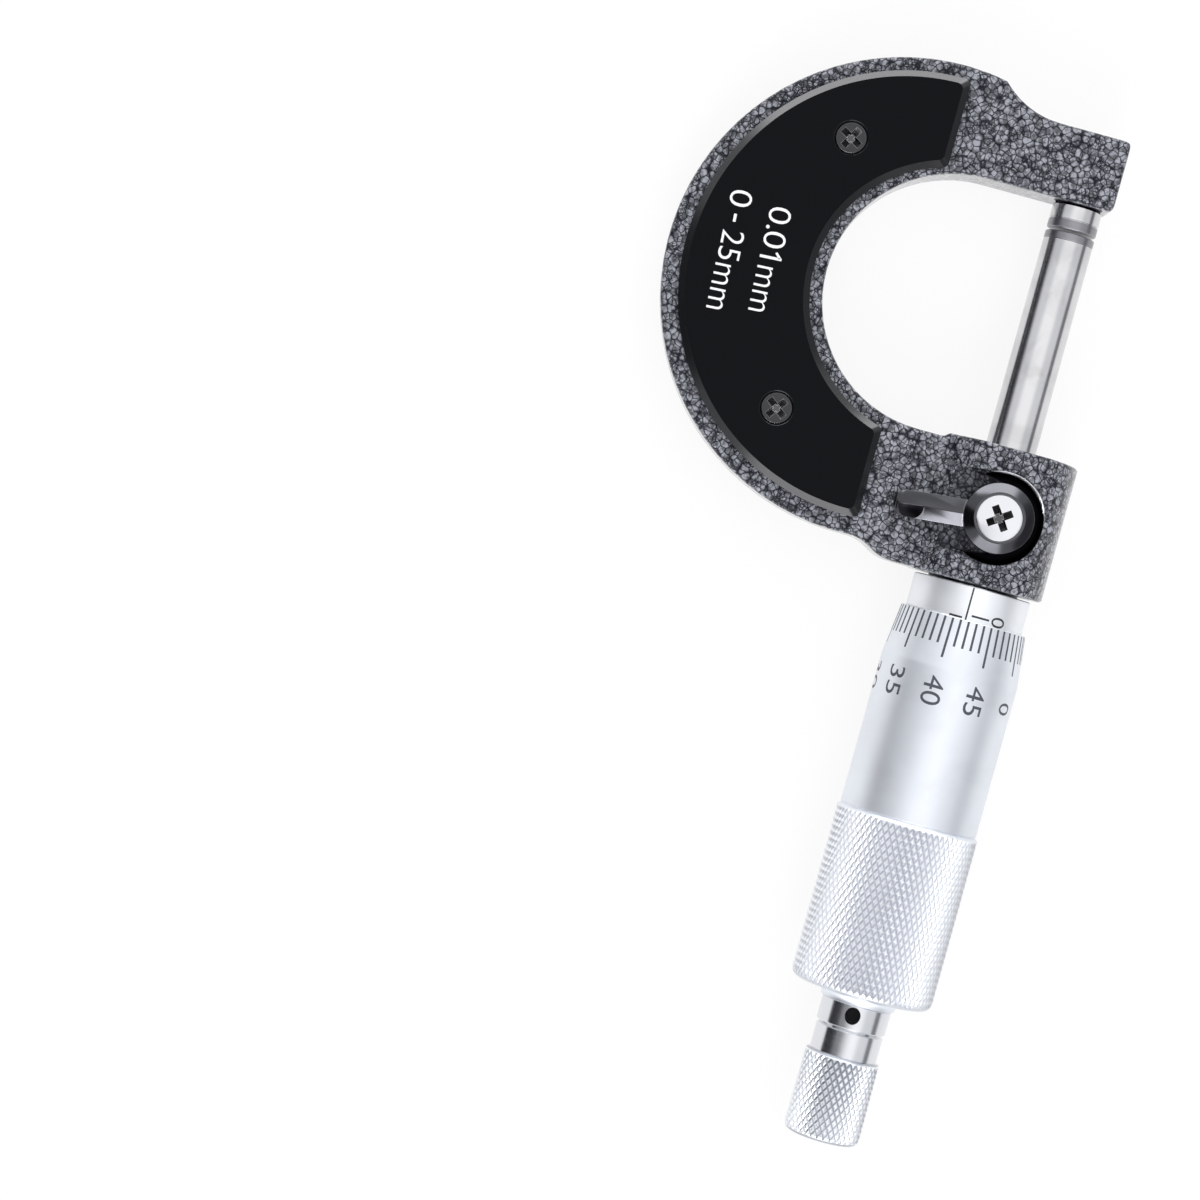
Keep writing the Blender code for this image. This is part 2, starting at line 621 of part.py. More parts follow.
def make_inner_sleeve(steel, dark_steel):
    guide = SPINDLE_RADIUS + RUNNING_FIT
    thread = SPINDLE_THREAD_RADIUS + RUNNING_FIT
    relief = thread + INNER_THREAD_RELIEF
    guide_end = SPINDLE_THREAD_START - OPENING - INNER_GUIDE_CLEAR
    thread_start = INNER_SLEEVE_END - INNER_THREAD_LENGTH
    profile = [
        (SPIGOT_START, guide),
        (SPIGOT_START, INNER_SPIGOT_RADIUS),
        (INNER_SLEEVE_START, INNER_SPIGOT_RADIUS),
        (INNER_SLEEVE_START, INNER_SLEEVE_RADIUS),
        (INNER_SLEEVE_END - INNER_TAPER_LENGTH, INNER_SLEEVE_RADIUS),
        (INNER_SLEEVE_END, taper_radius(INNER_SLEEVE_END)),
        (INNER_SLEEVE_END, thread),
        (thread_start, thread),
        (thread_start, relief),
        (guide_end, relief),
        (guide_end, guide),
    ]
    sleeve = new_object("inner_sleeve", turned_mesh("inner_sleeve", profile, "X", ROUND_STEPS, True), steel)
    slits = []
    depth = INNER_SLEEVE_RADIUS + OVERCUT - guide / 2
    for i in range(SLIT_COUNT):
        middle = Vector((INNER_SLEEVE_END + (OVERCUT - SLIT_LENGTH) / 2, 0, guide / 2 + depth / 2))
        turn = Matrix.Rotation(2 * pi * (i + 0.5) / SLIT_COUNT, 4, "X")
        slits.append(((SLIT_LENGTH + OVERCUT, SLIT_WIDTH, depth), turn @ Matrix.Translation(middle)))
    cut(sleeve, "sleeve_slits", boxes_mesh("sleeve_slits", slits))

    nut_end = INNER_SLEEVE_END - NUT_END_GAP
    nut_start = nut_end - NUT_LENGTH
    edge = 2 * SEAT_FIT
    profile = [
        (nut_start, taper_radius(nut_start) + edge),
        (nut_start, NUT_RADIUS),
        (nut_end, NUT_RADIUS),
        (nut_end, taper_radius(nut_end) + edge),
    ]
    mesh = turned_mesh("adjusting_nut", profile, "X", ROUND_STEPS, True)
    nut = new_object("adjusting_nut", mesh, dark_steel)
    notches = []
    for i in range(NUT_NOTCH_COUNT):
        size = (NUT_LENGTH / 2 + OVERCUT, NUT_NOTCH_WIDTH, 2 * NUT_NOTCH_DEPTH)
        middle = Vector((nut_end + OVERCUT / 2 - NUT_LENGTH / 4, 0, NUT_RADIUS))
        turn = Matrix.Rotation(2 * pi * i / NUT_NOTCH_COUNT, 4, "X")
        notches.append((size, turn @ Matrix.Translation(middle)))
    cut(nut, "nut_notches", boxes_mesh("nut_notches", notches))


def make_graduated_sleeve(chrome):
    inside = INNER_SLEEVE_RADIUS + SEAT_FIT
    length = SLEEVE_END - SLEEVE_START
    profile = [
        (0, inside),
        (0, SLEEVE_RADIUS),
        (length, SLEEVE_RADIUS),
        (length, inside),
    ]
    mesh = turned_mesh("graduated_sleeve", profile, "X", FINE_STEPS, True)
    new_object("graduated_sleeve", mesh, chrome, (SLEEVE_START, 0, 0))


def make_thimble(chrome):
    bevel_end = THIMBLE_START + THIMBLE_BEVEL_LENGTH
    wall_start = THIMBLE_END - THIMBLE_END_WALL
    taper_slope = (SPINDLE_TAPER_LARGE - SPINDLE_TAPER_SMALL) / SPINDLE_TAPER_LENGTH
    taper_end = SPINDLE_END + 2 * SEAT_FIT
    large = SPINDLE_TAPER_LARGE + SEAT_FIT + (TAPER_START - wall_start) * taper_slope
    small = SPINDLE_TAPER_SMALL + SEAT_FIT - 2 * SEAT_FIT * taper_slope
    stem = BASE_STEM_RADIUS + 2 * SEAT_FIT
    profile = [(wall_start, THIMBLE_BORE), (THIMBLE_START, THIMBLE_BORE)]
    profile.append((THIMBLE_START, THIMBLE_EDGE_RADIUS))
    profile.append((bevel_end, THIMBLE_RADIUS))
    profile.append((GRIP_START, THIMBLE_RADIUS))
    profile.append((GRIP_START + GRIP_STEP, GRIP_RADIUS))
    corner = (GRIP_END - GRIP_END_ROUND, GRIP_RADIUS - GRIP_END_ROUND)
    profile += arc(corner, GRIP_END_ROUND, pi / 2, 0, CORNER_STEPS)
    fillet = (THIMBLE_END, NECK_RADIUS + NECK_FILLET)
    profile += arc(fillet, NECK_FILLET, pi, 1.5 * pi, 3)
    profile.append((THIMBLE_END, stem))
    profile.append((taper_end, stem))
    profile.append((taper_end, small))
    profile.append((wall_start, large))
    profile = [(x - THIMBLE_START, radius) for x, radius in profile]
    mesh = turned_mesh("thimble", profile, "X", FINE_STEPS, True)
    new_object("thimble", mesh, chrome, (THIMBLE_START, 0, 0))


# Ratchet stop

def toothed_mesh(name, inner, outer, back, root, height, teeth):
    """A ring round X whose +X face has saw teeth: each tooth climbs a ramp and drops sharply."""
    bm = bmesh.new()
    steps = TOOTH_STEPS
    count = teeth * steps
    face_points = []
    back_points = []
    crest_points = []
    for i in range(count):
        angle = 2 * pi * i / count
        climb = (i % steps) / steps
        across = Vector((0, -sin(angle), cos(angle)))
        face_points.append([bm.verts.new((root + climb * height, *(across * r)[1:])) for r in (inner, outer)])
        back_points.append([bm.verts.new((back, *(across * r)[1:])) for r in (inner, outer)])
        if i % steps == 0:
            crest_points.append([bm.verts.new((root + height, *(across * r)[1:])) for r in (inner, outer)])
    for i in range(count):
        j = (i + 1) % count
        ends_tooth = j % steps == 0
        low, low_next = face_points[i], face_points[j]
        top_next = crest_points[j // steps] if ends_tooth else low_next
        base, base_next = back_points[i], back_points[j]
        bm.faces.new((low[0], low[1], top_next[1], top_next[0]))
        bm.faces.new((base[0], base_next[0], base_next[1], base[1]))
        for k in (0, 1):
            wall = [base[k], base_next[k], low_next[k], low[k]]
            if ends_tooth:
                wall = [base[k], base_next[k], low_next[k], top_next[k], low[k]]
            bm.faces.new(wall)
        if ends_tooth:
            bm.faces.new((low_next[0], low_next[1], top_next[1], top_next[0]))
    return mesh_from(bm, name)


def flats_mesh(name, radius, half, start, end):
    """A round bar with two flats, facing +Z and -Z."""
    flat = asin(half / radius)
    outline = arc((0, 0), radius, -flat, flat, 10) + arc((0, 0), radius, pi - flat, pi + flat, 10)
    return prism_mesh(name, outline, start, end, "YZ")


def make_ratchet_base(steel):
    base = pivot("ratchet_axis", (BASE_START, 0, 0))
    spigot_end = BASE_END + BASE_SPIGOT_LENGTH
    post_end = KNOB_WALL_END
    spigot = KNOB_CAVITY_RADIUS - 2 * RUNNING_FIT
    screw_hole = RATCHET_SCREW_RADIUS + SEAT_FIT
    profile = [
        (BASE_START - BASE_STEM_LENGTH, 0),
        (BASE_START - BASE_STEM_LENGTH, BASE_STEM_RADIUS),
        (BASE_START, BASE_STEM_RADIUS),
        (BASE_START, BASE_RADIUS - BASE_EDGE),
        (BASE_START + BASE_EDGE, BASE_RADIUS),
        (BASE_END - BASE_EDGE, BASE_RADIUS),
        (BASE_END, BASE_RADIUS - BASE_EDGE),
        (BASE_END, spigot),
        (spigot_end, spigot),
        (spigot_end, POST_RADIUS),
        (post_end, POST_RADIUS),
        (post_end, screw_hole),
        (post_end - RATCHET_SCREW_LENGTH - SEAT_FIT, screw_hole),
        (post_end - RATCHET_SCREW_LENGTH - SEAT_FIT, 0),
    ]
    profile = [(x - BASE_START, radius) for x, radius in profile]
    mesh = turned_mesh("ratchet_base", profile, "X", ROUND_STEPS, False)
    part = new_object("ratchet_base", mesh, steel, (BASE_START, 0, 0), base)

    length = KNOB_WALL_START - spigot_end
    middle_x = (spigot_end + KNOB_WALL_START) / 2
    flat_boxes = []
    for side in (1, -1):
        middle = Vector((middle_x, 0, side * (POST_FLAT_HALF + OVERCUT / 2)))
        flat_boxes.append(((length, 3 * POST_RADIUS, OVERCUT), Matrix.Translation(middle)))
    cut(part, "post_flats", boxes_mesh("post_flats", flat_boxes))

    hole = cylinder_profile(BASE_RADIUS - SPANNER_HOLE_DEPTH, BASE_RADIUS + OVERCUT, SPANNER_HOLE_RADIUS)
    hole = turned_mesh("spanner_hole", hole, "Z", SMALL_STEPS, False)
    hole.transform(Matrix.Rotation(radians(SPANNER_HOLE_TILT), 4, "X"))
    cut(part, "spanner_hole", hole, (BASE_START + SPANNER_HOLE_FROM_EDGE, 0, 0))
    return base


def make_ratchet_pawl(steel, spring_steel, base):
    outer = KNOB_CAVITY_RADIUS - 2 * RUNNING_FIT
    mesh = toothed_mesh("ratchet_pawl", POST_RADIUS / 2, outer, 0, PAWL_LENGTH, TOOTH_HEIGHT, TOOTH_COUNT)
    pawl = new_object("ratchet_pawl", mesh, steel, (PAWL_START, 0, 0), base)
    hole = flats_mesh(
        "pawl_hole",
        POST_RADIUS + RUNNING_FIT,
        POST_FLAT_HALF + RUNNING_FIT,
        PAWL_START - OVERCUT,
        KNOB_WALL_START + OVERCUT,
    )
    cut(pawl, "pawl_hole", hole)

    start = BASE_END + BASE_SPIGOT_LENGTH + SEAT_FIT + SPRING_WIRE_RADIUS
    end = PAWL_START - SEAT_FIT - SPRING_WIRE_RADIUS
    coil = (POST_RADIUS + KNOB_CAVITY_RADIUS) / 2
    curve = bpy.data.curves.new("ratchet_spring", "CURVE")
    curve.dimensions = "3D"
    curve.bevel_depth = SPRING_WIRE_RADIUS
    curve.bevel_resolution = 1
    curve.use_fill_caps = True
    count = round(SPRING_TURNS * SPRING_STEPS) + 1
    spline = curve.splines.new("POLY")
    spline.points.add(count - 1)
    for i in range(count):
        share = i / (count - 1)
        angle = 2 * pi * SPRING_TURNS * share
        x = start + (end - start) * share
        spline.points[i].co = (x - start, -coil * sin(angle), coil * cos(angle), 1)
    curve.materials.append(spring_steel)
    spring = bpy.data.objects.new("ratchet_spring", curve)
    bpy.context.collection.objects.link(spring)
    spring.parent = base
    spring.location = (start - base.location.x, 0, 0)


def make_ratchet_knob(steel, base):
    """The knurled knob, turning on the base, with the matching teeth at the bottom of its cavity."""
    step = KNOB_GRIP_STEP
    end_round = KNOB_END_ROUND
    pocket = RATCHET_HEAD_RADIUS + 2 * RUNNING_FIT
    bore = POST_RADIUS + RUNNING_FIT
    profile = [
        (KNOB_START, KNOB_CAVITY_RADIUS),
        (KNOB_START, KNOB_COLLAR_RADIUS - BASE_EDGE),
        (KNOB_START + BASE_EDGE, KNOB_COLLAR_RADIUS),
        (KNOB_GRIP_START, KNOB_COLLAR_RADIUS),
        (KNOB_GRIP_START, KNOB_GRIP_START_RADIUS - step),
        (KNOB_GRIP_START + step, KNOB_GRIP_START_RADIUS),
    ]
    corner = (KNOB_END - end_round, KNOB_GRIP_END_RADIUS - end_round)
    profile += arc(corner, end_round, pi / 2, 0, CORNER_STEPS)
    profile += [
        (KNOB_END, pocket),
        (KNOB_WALL_END, pocket),
        (KNOB_WALL_END, bore),
        (TOOTH_ROOT, bore),
        (TOOTH_ROOT, KNOB_CAVITY_RADIUS),
    ]
    profile = [(x - KNOB_START, radius) for x, radius in profile]
    mesh = turned_mesh("ratchet_knob", profile, "X", ROUND_STEPS, True)
    knob = new_object("ratchet_knob", mesh, steel, (KNOB_START, 0, 0), base)
    teeth = toothed_mesh(
        "knob_teeth",
        bore - RUNNING_FIT / 2,
        KNOB_CAVITY_RADIUS - RUNNING_FIT,
        PAWL_START,
        TOOTH_ROOT + TOOTH_CLEARANCE,
        TOOTH_HEIGHT,
        TOOTH_COUNT,
    )
    cut(knob, "knob_teeth", teeth)


def make_ratchet_screw(steel):
    head_start = KNOB_WALL_END + SEAT_FIT
    head_end = KNOB_END - RATCHET_HEAD_DOME
    dome = dome_profile(head_end, RATCHET_HEAD_RADIUS, RATCHET_HEAD_DOME, 5)
    profile = [
        (head_start - RATCHET_SCREW_LENGTH, 0),
        (head_start - RATCHET_SCREW_LENGTH, RATCHET_SCREW_RADIUS),
        (head_start, RATCHET_SCREW_RADIUS),
        (head_start, RATCHET_HEAD_RADIUS),
    ]
    mesh = turned_mesh("ratchet_screw", profile + dome, "X", SMALL_STEPS, False)
    screw = new_object("ratchet_screw", mesh, steel)
    size = (RATCHET_SLOT_DEPTH + OVERCUT, RATCHET_SLOT_WIDTH, 2 * RATCHET_HEAD_RADIUS + OVERCUT)
    middle = Vector((KNOB_END + (OVERCUT - RATCHET_SLOT_DEPTH) / 2, 0, 0))
    turn = Matrix.Rotation(radians(RATCHET_SLOT_TURN), 4, "X")
    slot = boxes_mesh("screw_slot", [(size, turn @ Matrix.Translation(middle))])
    cut(screw, "screw_slot", slot)


def dome_profile(start, radius, height, steps):
    """From the rim at start to the axis, as part of a sphere."""
    sphere = (radius**2 + height**2) / (2 * height)
    edge = asin(radius / sphere)
    centre = start + height - sphere
    points = []
    for i in range(steps + 1):
        angle = edge * (1 - i / steps)
        points.append((centre + sphere * cos(angle), sphere * sin(angle) if i < steps else 0))
    return points


# Lever lock

def make_lock_lever(black_steel, axis):
    """The hub and its ridged lever are one piece, here with the lever along -Y before it is turned."""
    top = HUB_TOP
    bore = STUD_RADIUS + SEAT_FIT
    seat = LOCK_SCREW_HEAD_RADIUS + SEAT_FIT
    seat_floor = top - LOCK_SCREW_HEAD_HEIGHT
    hub = [
        (HUB_BOTTOM, bore),
        (HUB_BOTTOM, HUB_RADIUS),
        (top - HUB_CHAMFER_HEIGHT, HUB_RADIUS),
        (top, HUB_RADIUS - HUB_CHAMFER_WIDTH),
        (top, seat),
        (seat_floor, seat),
        (seat_floor, bore),
    ]
    mesh = turned_mesh("lock_lever", hub, "Z", ROUND_STEPS, True)
    lever = new_object("lock_lever", mesh, black_steel, (LOCK_X, 0, 0), axis)

    arm = bmesh.new()
    side = HUB_BOTTOM + LEVER_SIDE_HEIGHT
    ridge = HUB_BOTTOM + LEVER_RIDGE_HEIGHT
    half = LEVER_HALF_WIDTH
    inner = (HUB_RADIUS + bore) / 2
    drop = LEVER_DROP
    stations = [(inner, 0.0, 1.0), (LEVER_DROP_START, 0.0, 1.0)]
    for i in range(1, LEVER_TIP_STEPS):
        turn = pi / 2 * i / LEVER_TIP_STEPS
        along = LEVER_LENGTH - half + half * sin(turn)
        share = (along - LEVER_DROP_START) / (LEVER_LENGTH - LEVER_DROP_START)
        stations.append((along, drop * share, cos(turn)))
    rings = []
    for along, fall, width in stations:
        section = [
            (-half * width, HUB_BOTTOM - fall),
            (half * width, HUB_BOTTOM - fall),
            (half * width, side - fall),
            (0, side - fall + (ridge - side) * width),
            (-half * width, side - fall),
        ]
        rings.append([arm.verts.new((x, -along, z)) for x, z in section])
    for first, second in zip(rings, rings[1:]):
        for i in range(5):
            j = (i + 1) % 5
            arm.faces.new((first[i], first[j], second[j], second[i]))
    arm.faces.new(rings[0])
    arm.faces.new(rings[-1])
    combine(lever, cutter("lever_arm", mesh_from(arm, "lever_arm"), (LOCK_X, 0, 0)), "UNION")

    scoop = bmesh.new()
    place = Vector((SCOOP_SIDE, SCOOP_FROM_TIP - LEVER_LENGTH, ridge + SCOOP_ABOVE_RIDGE))
    bmesh.ops.create_uvsphere(
        scoop,
        u_segments=24,
        v_segments=12,
        radius=SCOOP_RADIUS,
        matrix=Matrix.Translation(place),
    )
    cut(lever, "lever_scoop", mesh_from(scoop, "lever_scoop"), (LOCK_X, 0, 0))
    for modifier in lever.modifiers:
        modifier.object.parent = lever
        modifier.object.location = (0, 0, 0)
    lever.rotation_euler.z = radians(LEVER_ANGLE)
    return lever


def make_lock_screw(chrome, axis):
    seat = HUB_TOP - LOCK_SCREW_HEAD_HEIGHT + SEAT_FIT
    rim = HUB_TOP - LOCK_SCREW_HEAD_DOME / 2
    profile = [
        (seat - LOCK_SCREW_SHANK_LENGTH, 0),
        (seat - LOCK_SCREW_SHANK_LENGTH, LOCK_SCREW_SHANK_RADIUS),
        (seat, LOCK_SCREW_SHANK_RADIUS),
        (seat, LOCK_SCREW_HEAD_RADIUS),
    ]
    profile += dome_profile(rim, LOCK_SCREW_HEAD_RADIUS, LOCK_SCREW_HEAD_DOME, 4)
    mesh = turned_mesh("lock_screw", profile, "Z", ROUND_STEPS, False)
    screw = new_object("lock_screw", mesh, chrome, (LOCK_X, 0, 0), axis)
    size = (LOCK_CROSS_REACH, LOCK_CROSS_WIDTH, LOCK_CROSS_DEPTH)
    add_cross_recess(screw, (LOCK_X, 0, rim + LOCK_SCREW_HEAD_DOME), size, LOCK_CROSS_TURN)


def add_cross_recess(screw, place, size, turn):
    """Two crossed tapered cuts in a screw's head."""
    reach, width, depth = size
    for i in (0, 1):
        bm = bmesh.new()
        top = [(-reach, -width / 2), (reach, -width / 2), (reach, width / 2), (-reach, width / 2)]
        spin = Matrix.Rotation(radians(turn) + i * pi / 2, 3, "Z")
        upper = [bm.verts.new(spin @ Vector((x, y, depth))) for x, y in top]
        shares = Vector((CROSS_REACH_SHARE, CROSS_WIDTH_SHARE, 1))
        lower = [bm.verts.new(spin @ (Vector((x, y, -depth)) * shares)) for x, y in top]
        bm.faces.new(lower)
        bm.faces.new(upper)
        for j in range(4):
            k = (j + 1) % 4
            bm.faces.new((lower[j], lower[k], upper[k], upper[j]))
        name = screw.name + "_recess_" + str(i + 1)
        cut(screw, name, mesh_from(bm, name), place)


def make_lock_stud(steel, brass, axis):
    shoe_seat = SPINDLE_RADIUS + SHOE_GAP
    shoe_top = shoe_seat + SHOE_LENGTH
    stud_bottom = shoe_top + STUD_GAP
    stud_top = HUB_TOP - LOCK_SCREW_HEAD_HEIGHT - SEAT_FIT
    hole = LOCK_SCREW_SHANK_RADIUS + SEAT_FIT
    hole_floor = stud_top - LOCK_SCREW_SHANK_LENGTH - SEAT_FIT
    profile = [
        (stud_bottom, 0),
        (stud_bottom, STUD_RADIUS),
        (stud_top, STUD_RADIUS),
        (stud_top, hole),
        (hole_floor, hole),
        (hole_floor, 0),
    ]
    mesh = turned_mesh("lock_stud", profile, "Z", SMALL_STEPS, False)
    new_object("lock_stud", mesh, steel, (LOCK_X, 0, 0), axis)

    saddle = cylinder_profile(shoe_seat - SHOE_LENGTH / 3, shoe_top, SHOE_RADIUS)
    mesh = turned_mesh("lock_shoe", saddle, "Z", SMALL_STEPS, False)
    shoe = new_object("lock_shoe", mesh, brass, (LOCK_X, 0, 0))
    groove = cylinder_profile(-3 * SHOE_RADIUS, 3 * SHOE_RADIUS, shoe_seat)
    cut(shoe, "shoe_groove", turned_mesh("shoe_groove", groove, "X", ROUND_STEPS, False), (LOCK_X, 0, 0))


# Grip plate

def make_plate(black, black_steel):
    outline = plate_outline(0)
    mesh = prism_mesh("plate", outline, 0, PLATE_THICKNESS, "XY", PLATE_BEVEL, 2, False)
    plate = new_object("insulating_plate", mesh, black, (0, 0, PLATE_BOTTOM))
    head = PLATE_SCREW_HEAD_RADIUS
    shank = PLATE_SCREW_SHANK_RADIUS
    head_top = PLATE_TOP - PLATE_SCREW_SUNK
    head_low = head_top - PLATE_SCREW_HEAD_HEIGHT
    land = PLATE_SCREW_LAND
    slope = (head - shank) / (PLATE_SCREW_HEAD_HEIGHT - land)
    wide = head + HEAD_SEAT_FIT
    hole_low = head_low + (shank - (shank + HEAD_SEAT_FIT)) / slope
    hole = [
        (PLATE_BOTTOM - OVERCUT, 0),
        (PLATE_BOTTOM - OVERCUT, shank + HEAD_SEAT_FIT),
        (hole_low, shank + HEAD_SEAT_FIT),
        (hole_low + (wide - shank - HEAD_SEAT_FIT) / slope, wide),
        (PLATE_TOP + OVERCUT, wide),
        (PLATE_TOP + OVERCUT, 0),
    ]
    screw_end = HALF_THICKNESS + SEAT_FIT - PLATE_SCREW_SHANK_LENGTH
    screw = [
        (screw_end, 0),
        (screw_end, shank),
        (head_low, shank),
        (head_top - land, head),
        (head_top, head - land / 2),
        (head_top, 0),
    ]
    size = (PLATE_CROSS_REACH, PLATE_CROSS_WIDTH, PLATE_CROSS_DEPTH)
    turns = {"anvil_side": ANVIL_SIDE_CROSS_TURN, "thimble_side": THIMBLE_SIDE_CROSS_TURN}
    for side, (x, y) in plate_screw_places().items():
        mesh = turned_mesh("countersink_" + side, hole, "Z", SMALL_STEPS, False)
        cut(plate, "countersink_" + side, mesh, (x, y, 0))
        name = "plate_screw_" + side
        fixing = new_object(name, turned_mesh(name, screw, "Z", SMALL_STEPS, False), black_steel, (x, y, 0))
        add_cross_recess(fixing, (x, y, head_top), size, turns[side])


def put_origin_at_frame_end():
    for obj in bpy.data.objects:
        if obj.parent is None:
            obj.location.x += ANVIL_PROTRUSION + ANVIL_BLOCK_LENGTH


def main():
    clear_scene()
    paint = make_material("hammertone_paint", (0.13, 0.14, 0.17), 0.32, 0.35)
    steel = make_material("ground_steel", (0.62, 0.62, 0.64), 0.22, 1.0)
    carbide = make_material("carbide", (0.28, 0.28, 0.30), 0.3, 1.0)
    satin = make_material("satin_chrome", (0.68, 0.70, 0.76), 0.34, 1.0)
    polished = make_material("polished_steel", (0.75, 0.75, 0.78), 0.12, 1.0)
    dark_steel = make_material("dark_steel", (0.12, 0.12, 0.13), 0.4, 0.9)
    black_steel = make_material("black_nickel", (0.03, 0.03, 0.035), 0.22, 0.8)
    brass = make_material("brass", (0.72, 0.53, 0.25), 0.3, 1.0)
    black = make_material("black_plastic", (0.008, 0.009, 0.011), 0.18, 0.0)

    make_frame(paint)
    make_anvil(steel, carbide)
    make_spindle(steel, carbide)
    make_inner_sleeve(steel, dark_steel)
    make_graduated_sleeve(satin)
    make_thimble(satin)
    ratchet_axis = make_ratchet_base(polished)
    make_ratchet_pawl(steel, dark_steel, ratchet_axis)
    make_ratchet_knob(satin, ratchet_axis)
    make_ratchet_screw(polished)
    lock_axis = pivot("lock_axis", (LOCK_X, 0, HUB_BOTTOM))
    make_lock_lever(black_steel, lock_axis)
    make_lock_screw(polished, lock_axis)
    make_lock_stud(steel, brass, lock_axis)
    make_plate(black, black_steel)
    put_origin_at_frame_end()


main()
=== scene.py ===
from math import acos, asin, atan2, ceil, cos, pi, radians, sin, tan

import bmesh
import bpy
import numpy as np
from mathutils import Matrix, Vector


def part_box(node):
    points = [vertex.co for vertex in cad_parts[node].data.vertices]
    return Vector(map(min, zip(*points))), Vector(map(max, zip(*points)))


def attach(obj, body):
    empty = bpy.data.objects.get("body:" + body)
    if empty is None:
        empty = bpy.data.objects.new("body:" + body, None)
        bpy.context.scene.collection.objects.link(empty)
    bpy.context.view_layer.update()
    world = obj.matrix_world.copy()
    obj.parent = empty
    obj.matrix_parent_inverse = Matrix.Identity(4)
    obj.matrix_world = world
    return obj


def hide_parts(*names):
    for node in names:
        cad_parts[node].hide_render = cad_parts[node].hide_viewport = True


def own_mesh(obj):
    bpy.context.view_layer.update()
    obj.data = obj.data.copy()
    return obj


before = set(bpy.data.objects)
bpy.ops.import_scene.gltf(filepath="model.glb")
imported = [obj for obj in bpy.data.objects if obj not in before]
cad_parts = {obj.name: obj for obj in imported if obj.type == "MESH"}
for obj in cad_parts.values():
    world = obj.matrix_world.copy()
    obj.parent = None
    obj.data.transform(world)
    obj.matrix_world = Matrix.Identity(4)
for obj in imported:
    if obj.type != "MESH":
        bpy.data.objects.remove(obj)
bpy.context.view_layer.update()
print("packed model loaded")

mm = 0.001
anvilFace = 12.78      # the fixed measuring face, in mm from the frame's flat end
indexTurn = 4.0        # how far the sleeve's long line stands off the top, in degrees
fineSteps = 192        # facets round the large turned pieces
cutSteps = 128         # round the pieces that a Boolean cuts
smallSteps = 96        # round the screws
holeSteps = 64         # round the spanner's hole
sharpAngle = 28        # an edge steeper than this, in degrees, stays crisp
fineWeld = 1e-9        # for scales and words, where points lie close together


def span(node, axis="x"):
    low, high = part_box(node)
    return getattr(low, axis) / mm, getattr(high, axis) / mm


# Shapes

def finishMesh(mesh, materials, slots=None):
    for material in materials:
        mesh.materials.append(material)
    if slots is not None:
        mesh.polygons.foreach_set("material_index", np.asarray(slots, np.int32))
    mesh.shade_smooth()
    mesh.set_sharp_from_angle(angle=radians(sharpAngle))
    mesh.update()
    return mesh


def meshFrom(name, points, faces):
    mesh = bpy.data.meshes.new(name)
    mesh.from_pydata((np.asarray(points, float) * mm).tolist(), [], faces)
    return mesh


def meshFromBm(name, bm, weld=1e-7):
    bmesh.ops.remove_doubles(bm, verts=bm.verts, dist=weld)
    bmesh.ops.recalc_face_normals(bm, faces=bm.faces)
    mesh = bpy.data.meshes.new(name)
    bm.to_mesh(mesh)
    bm.free()
    return mesh


def arc(centre, radius, start, end, steps):
    turns = [start + (end - start) * i / steps for i in range(steps + 1)]
    return [(centre[0] + radius * cos(a), centre[1] + radius * sin(a)) for a in turns]


def roundCorners(points, radius, steps, keep):
    # each corner of an outline or profile becomes an arc, apart from those in keep
    done = []
    for i, point in enumerate(points):
        if i in keep:
            done.append(tuple(point))
            continue
        corner = Vector(point)
        before = (Vector(points[i - 1]) - corner).normalized()
        after = (Vector(points[(i + 1) % len(points)]) - corner).normalized()
        half = acos(max(-1.0, min(1.0, before.dot(after)))) / 2
        centre = corner + (before + after).normalized() * radius / sin(half)
        first = corner + before * radius / tan(half) - centre
        last = corner + after * radius / tan(half) - centre
        begin = atan2(first.y, first.x)
        turn = (atan2(last.y, last.x) - begin + pi) % (2 * pi) - pi
        done.extend(arc(centre, radius, begin, begin + turn, steps))
    return done


def turnedMesh(name, profile, columns=fineSteps, axis="X", relief=None):
    # a profile of (along, radius) in mm, its outside running up the axis; radius 0 closes an end
    along = np.array([p[0] for p in profile], float)
    radii = np.repeat(np.array([p[1] for p in profile], float)[:, None], columns, axis=1)
    angles = 2 * pi * np.arange(columns) / columns
    poles = radii.max(axis=1) < 1e-6
    if relief is not None:
        radii = relief(along, radii, angles)
    points = []
    starts = []
    for i, level in enumerate(along):
        starts.append(len(points))
        if poles[i]:
            points.append((level, 0, 0) if axis == "X" else (0, 0, level))
            continue
        a, b, c = radii[i] * np.cos(angles), radii[i] * np.sin(angles), np.full(columns, level)
        ring = (c, -b, a) if axis == "X" else (a, b, c)
        points.extend(np.column_stack(ring).tolist())
    here = np.arange(columns)
    there = (here + 1) % columns
    faces = []
    last = len(profile) - 1 if poles.any() else len(profile)
    for i in range(last):
        k = (i + 1) % len(profile)
        if poles[i] and poles[k]:
            continue
        a, b = starts[i] + here, starts[i] + there
        c, d = starts[k] + there, starts[k] + here
        if poles[i]:
            faces += np.column_stack((np.full(columns, starts[i]), c, d)).tolist()
        elif poles[k]:
            faces += np.column_stack((a, b, np.full(columns, starts[k]))).tolist()
        elif np.ptp(radii[i]) + np.ptp(radii[k]) > 1e-9:
            faces += splitQuads((a, b, c, d), radii[i], radii[k], here, there)
        else:
            faces += np.column_stack((a, b, c, d)).tolist()
    return meshFrom(name, points, faces)


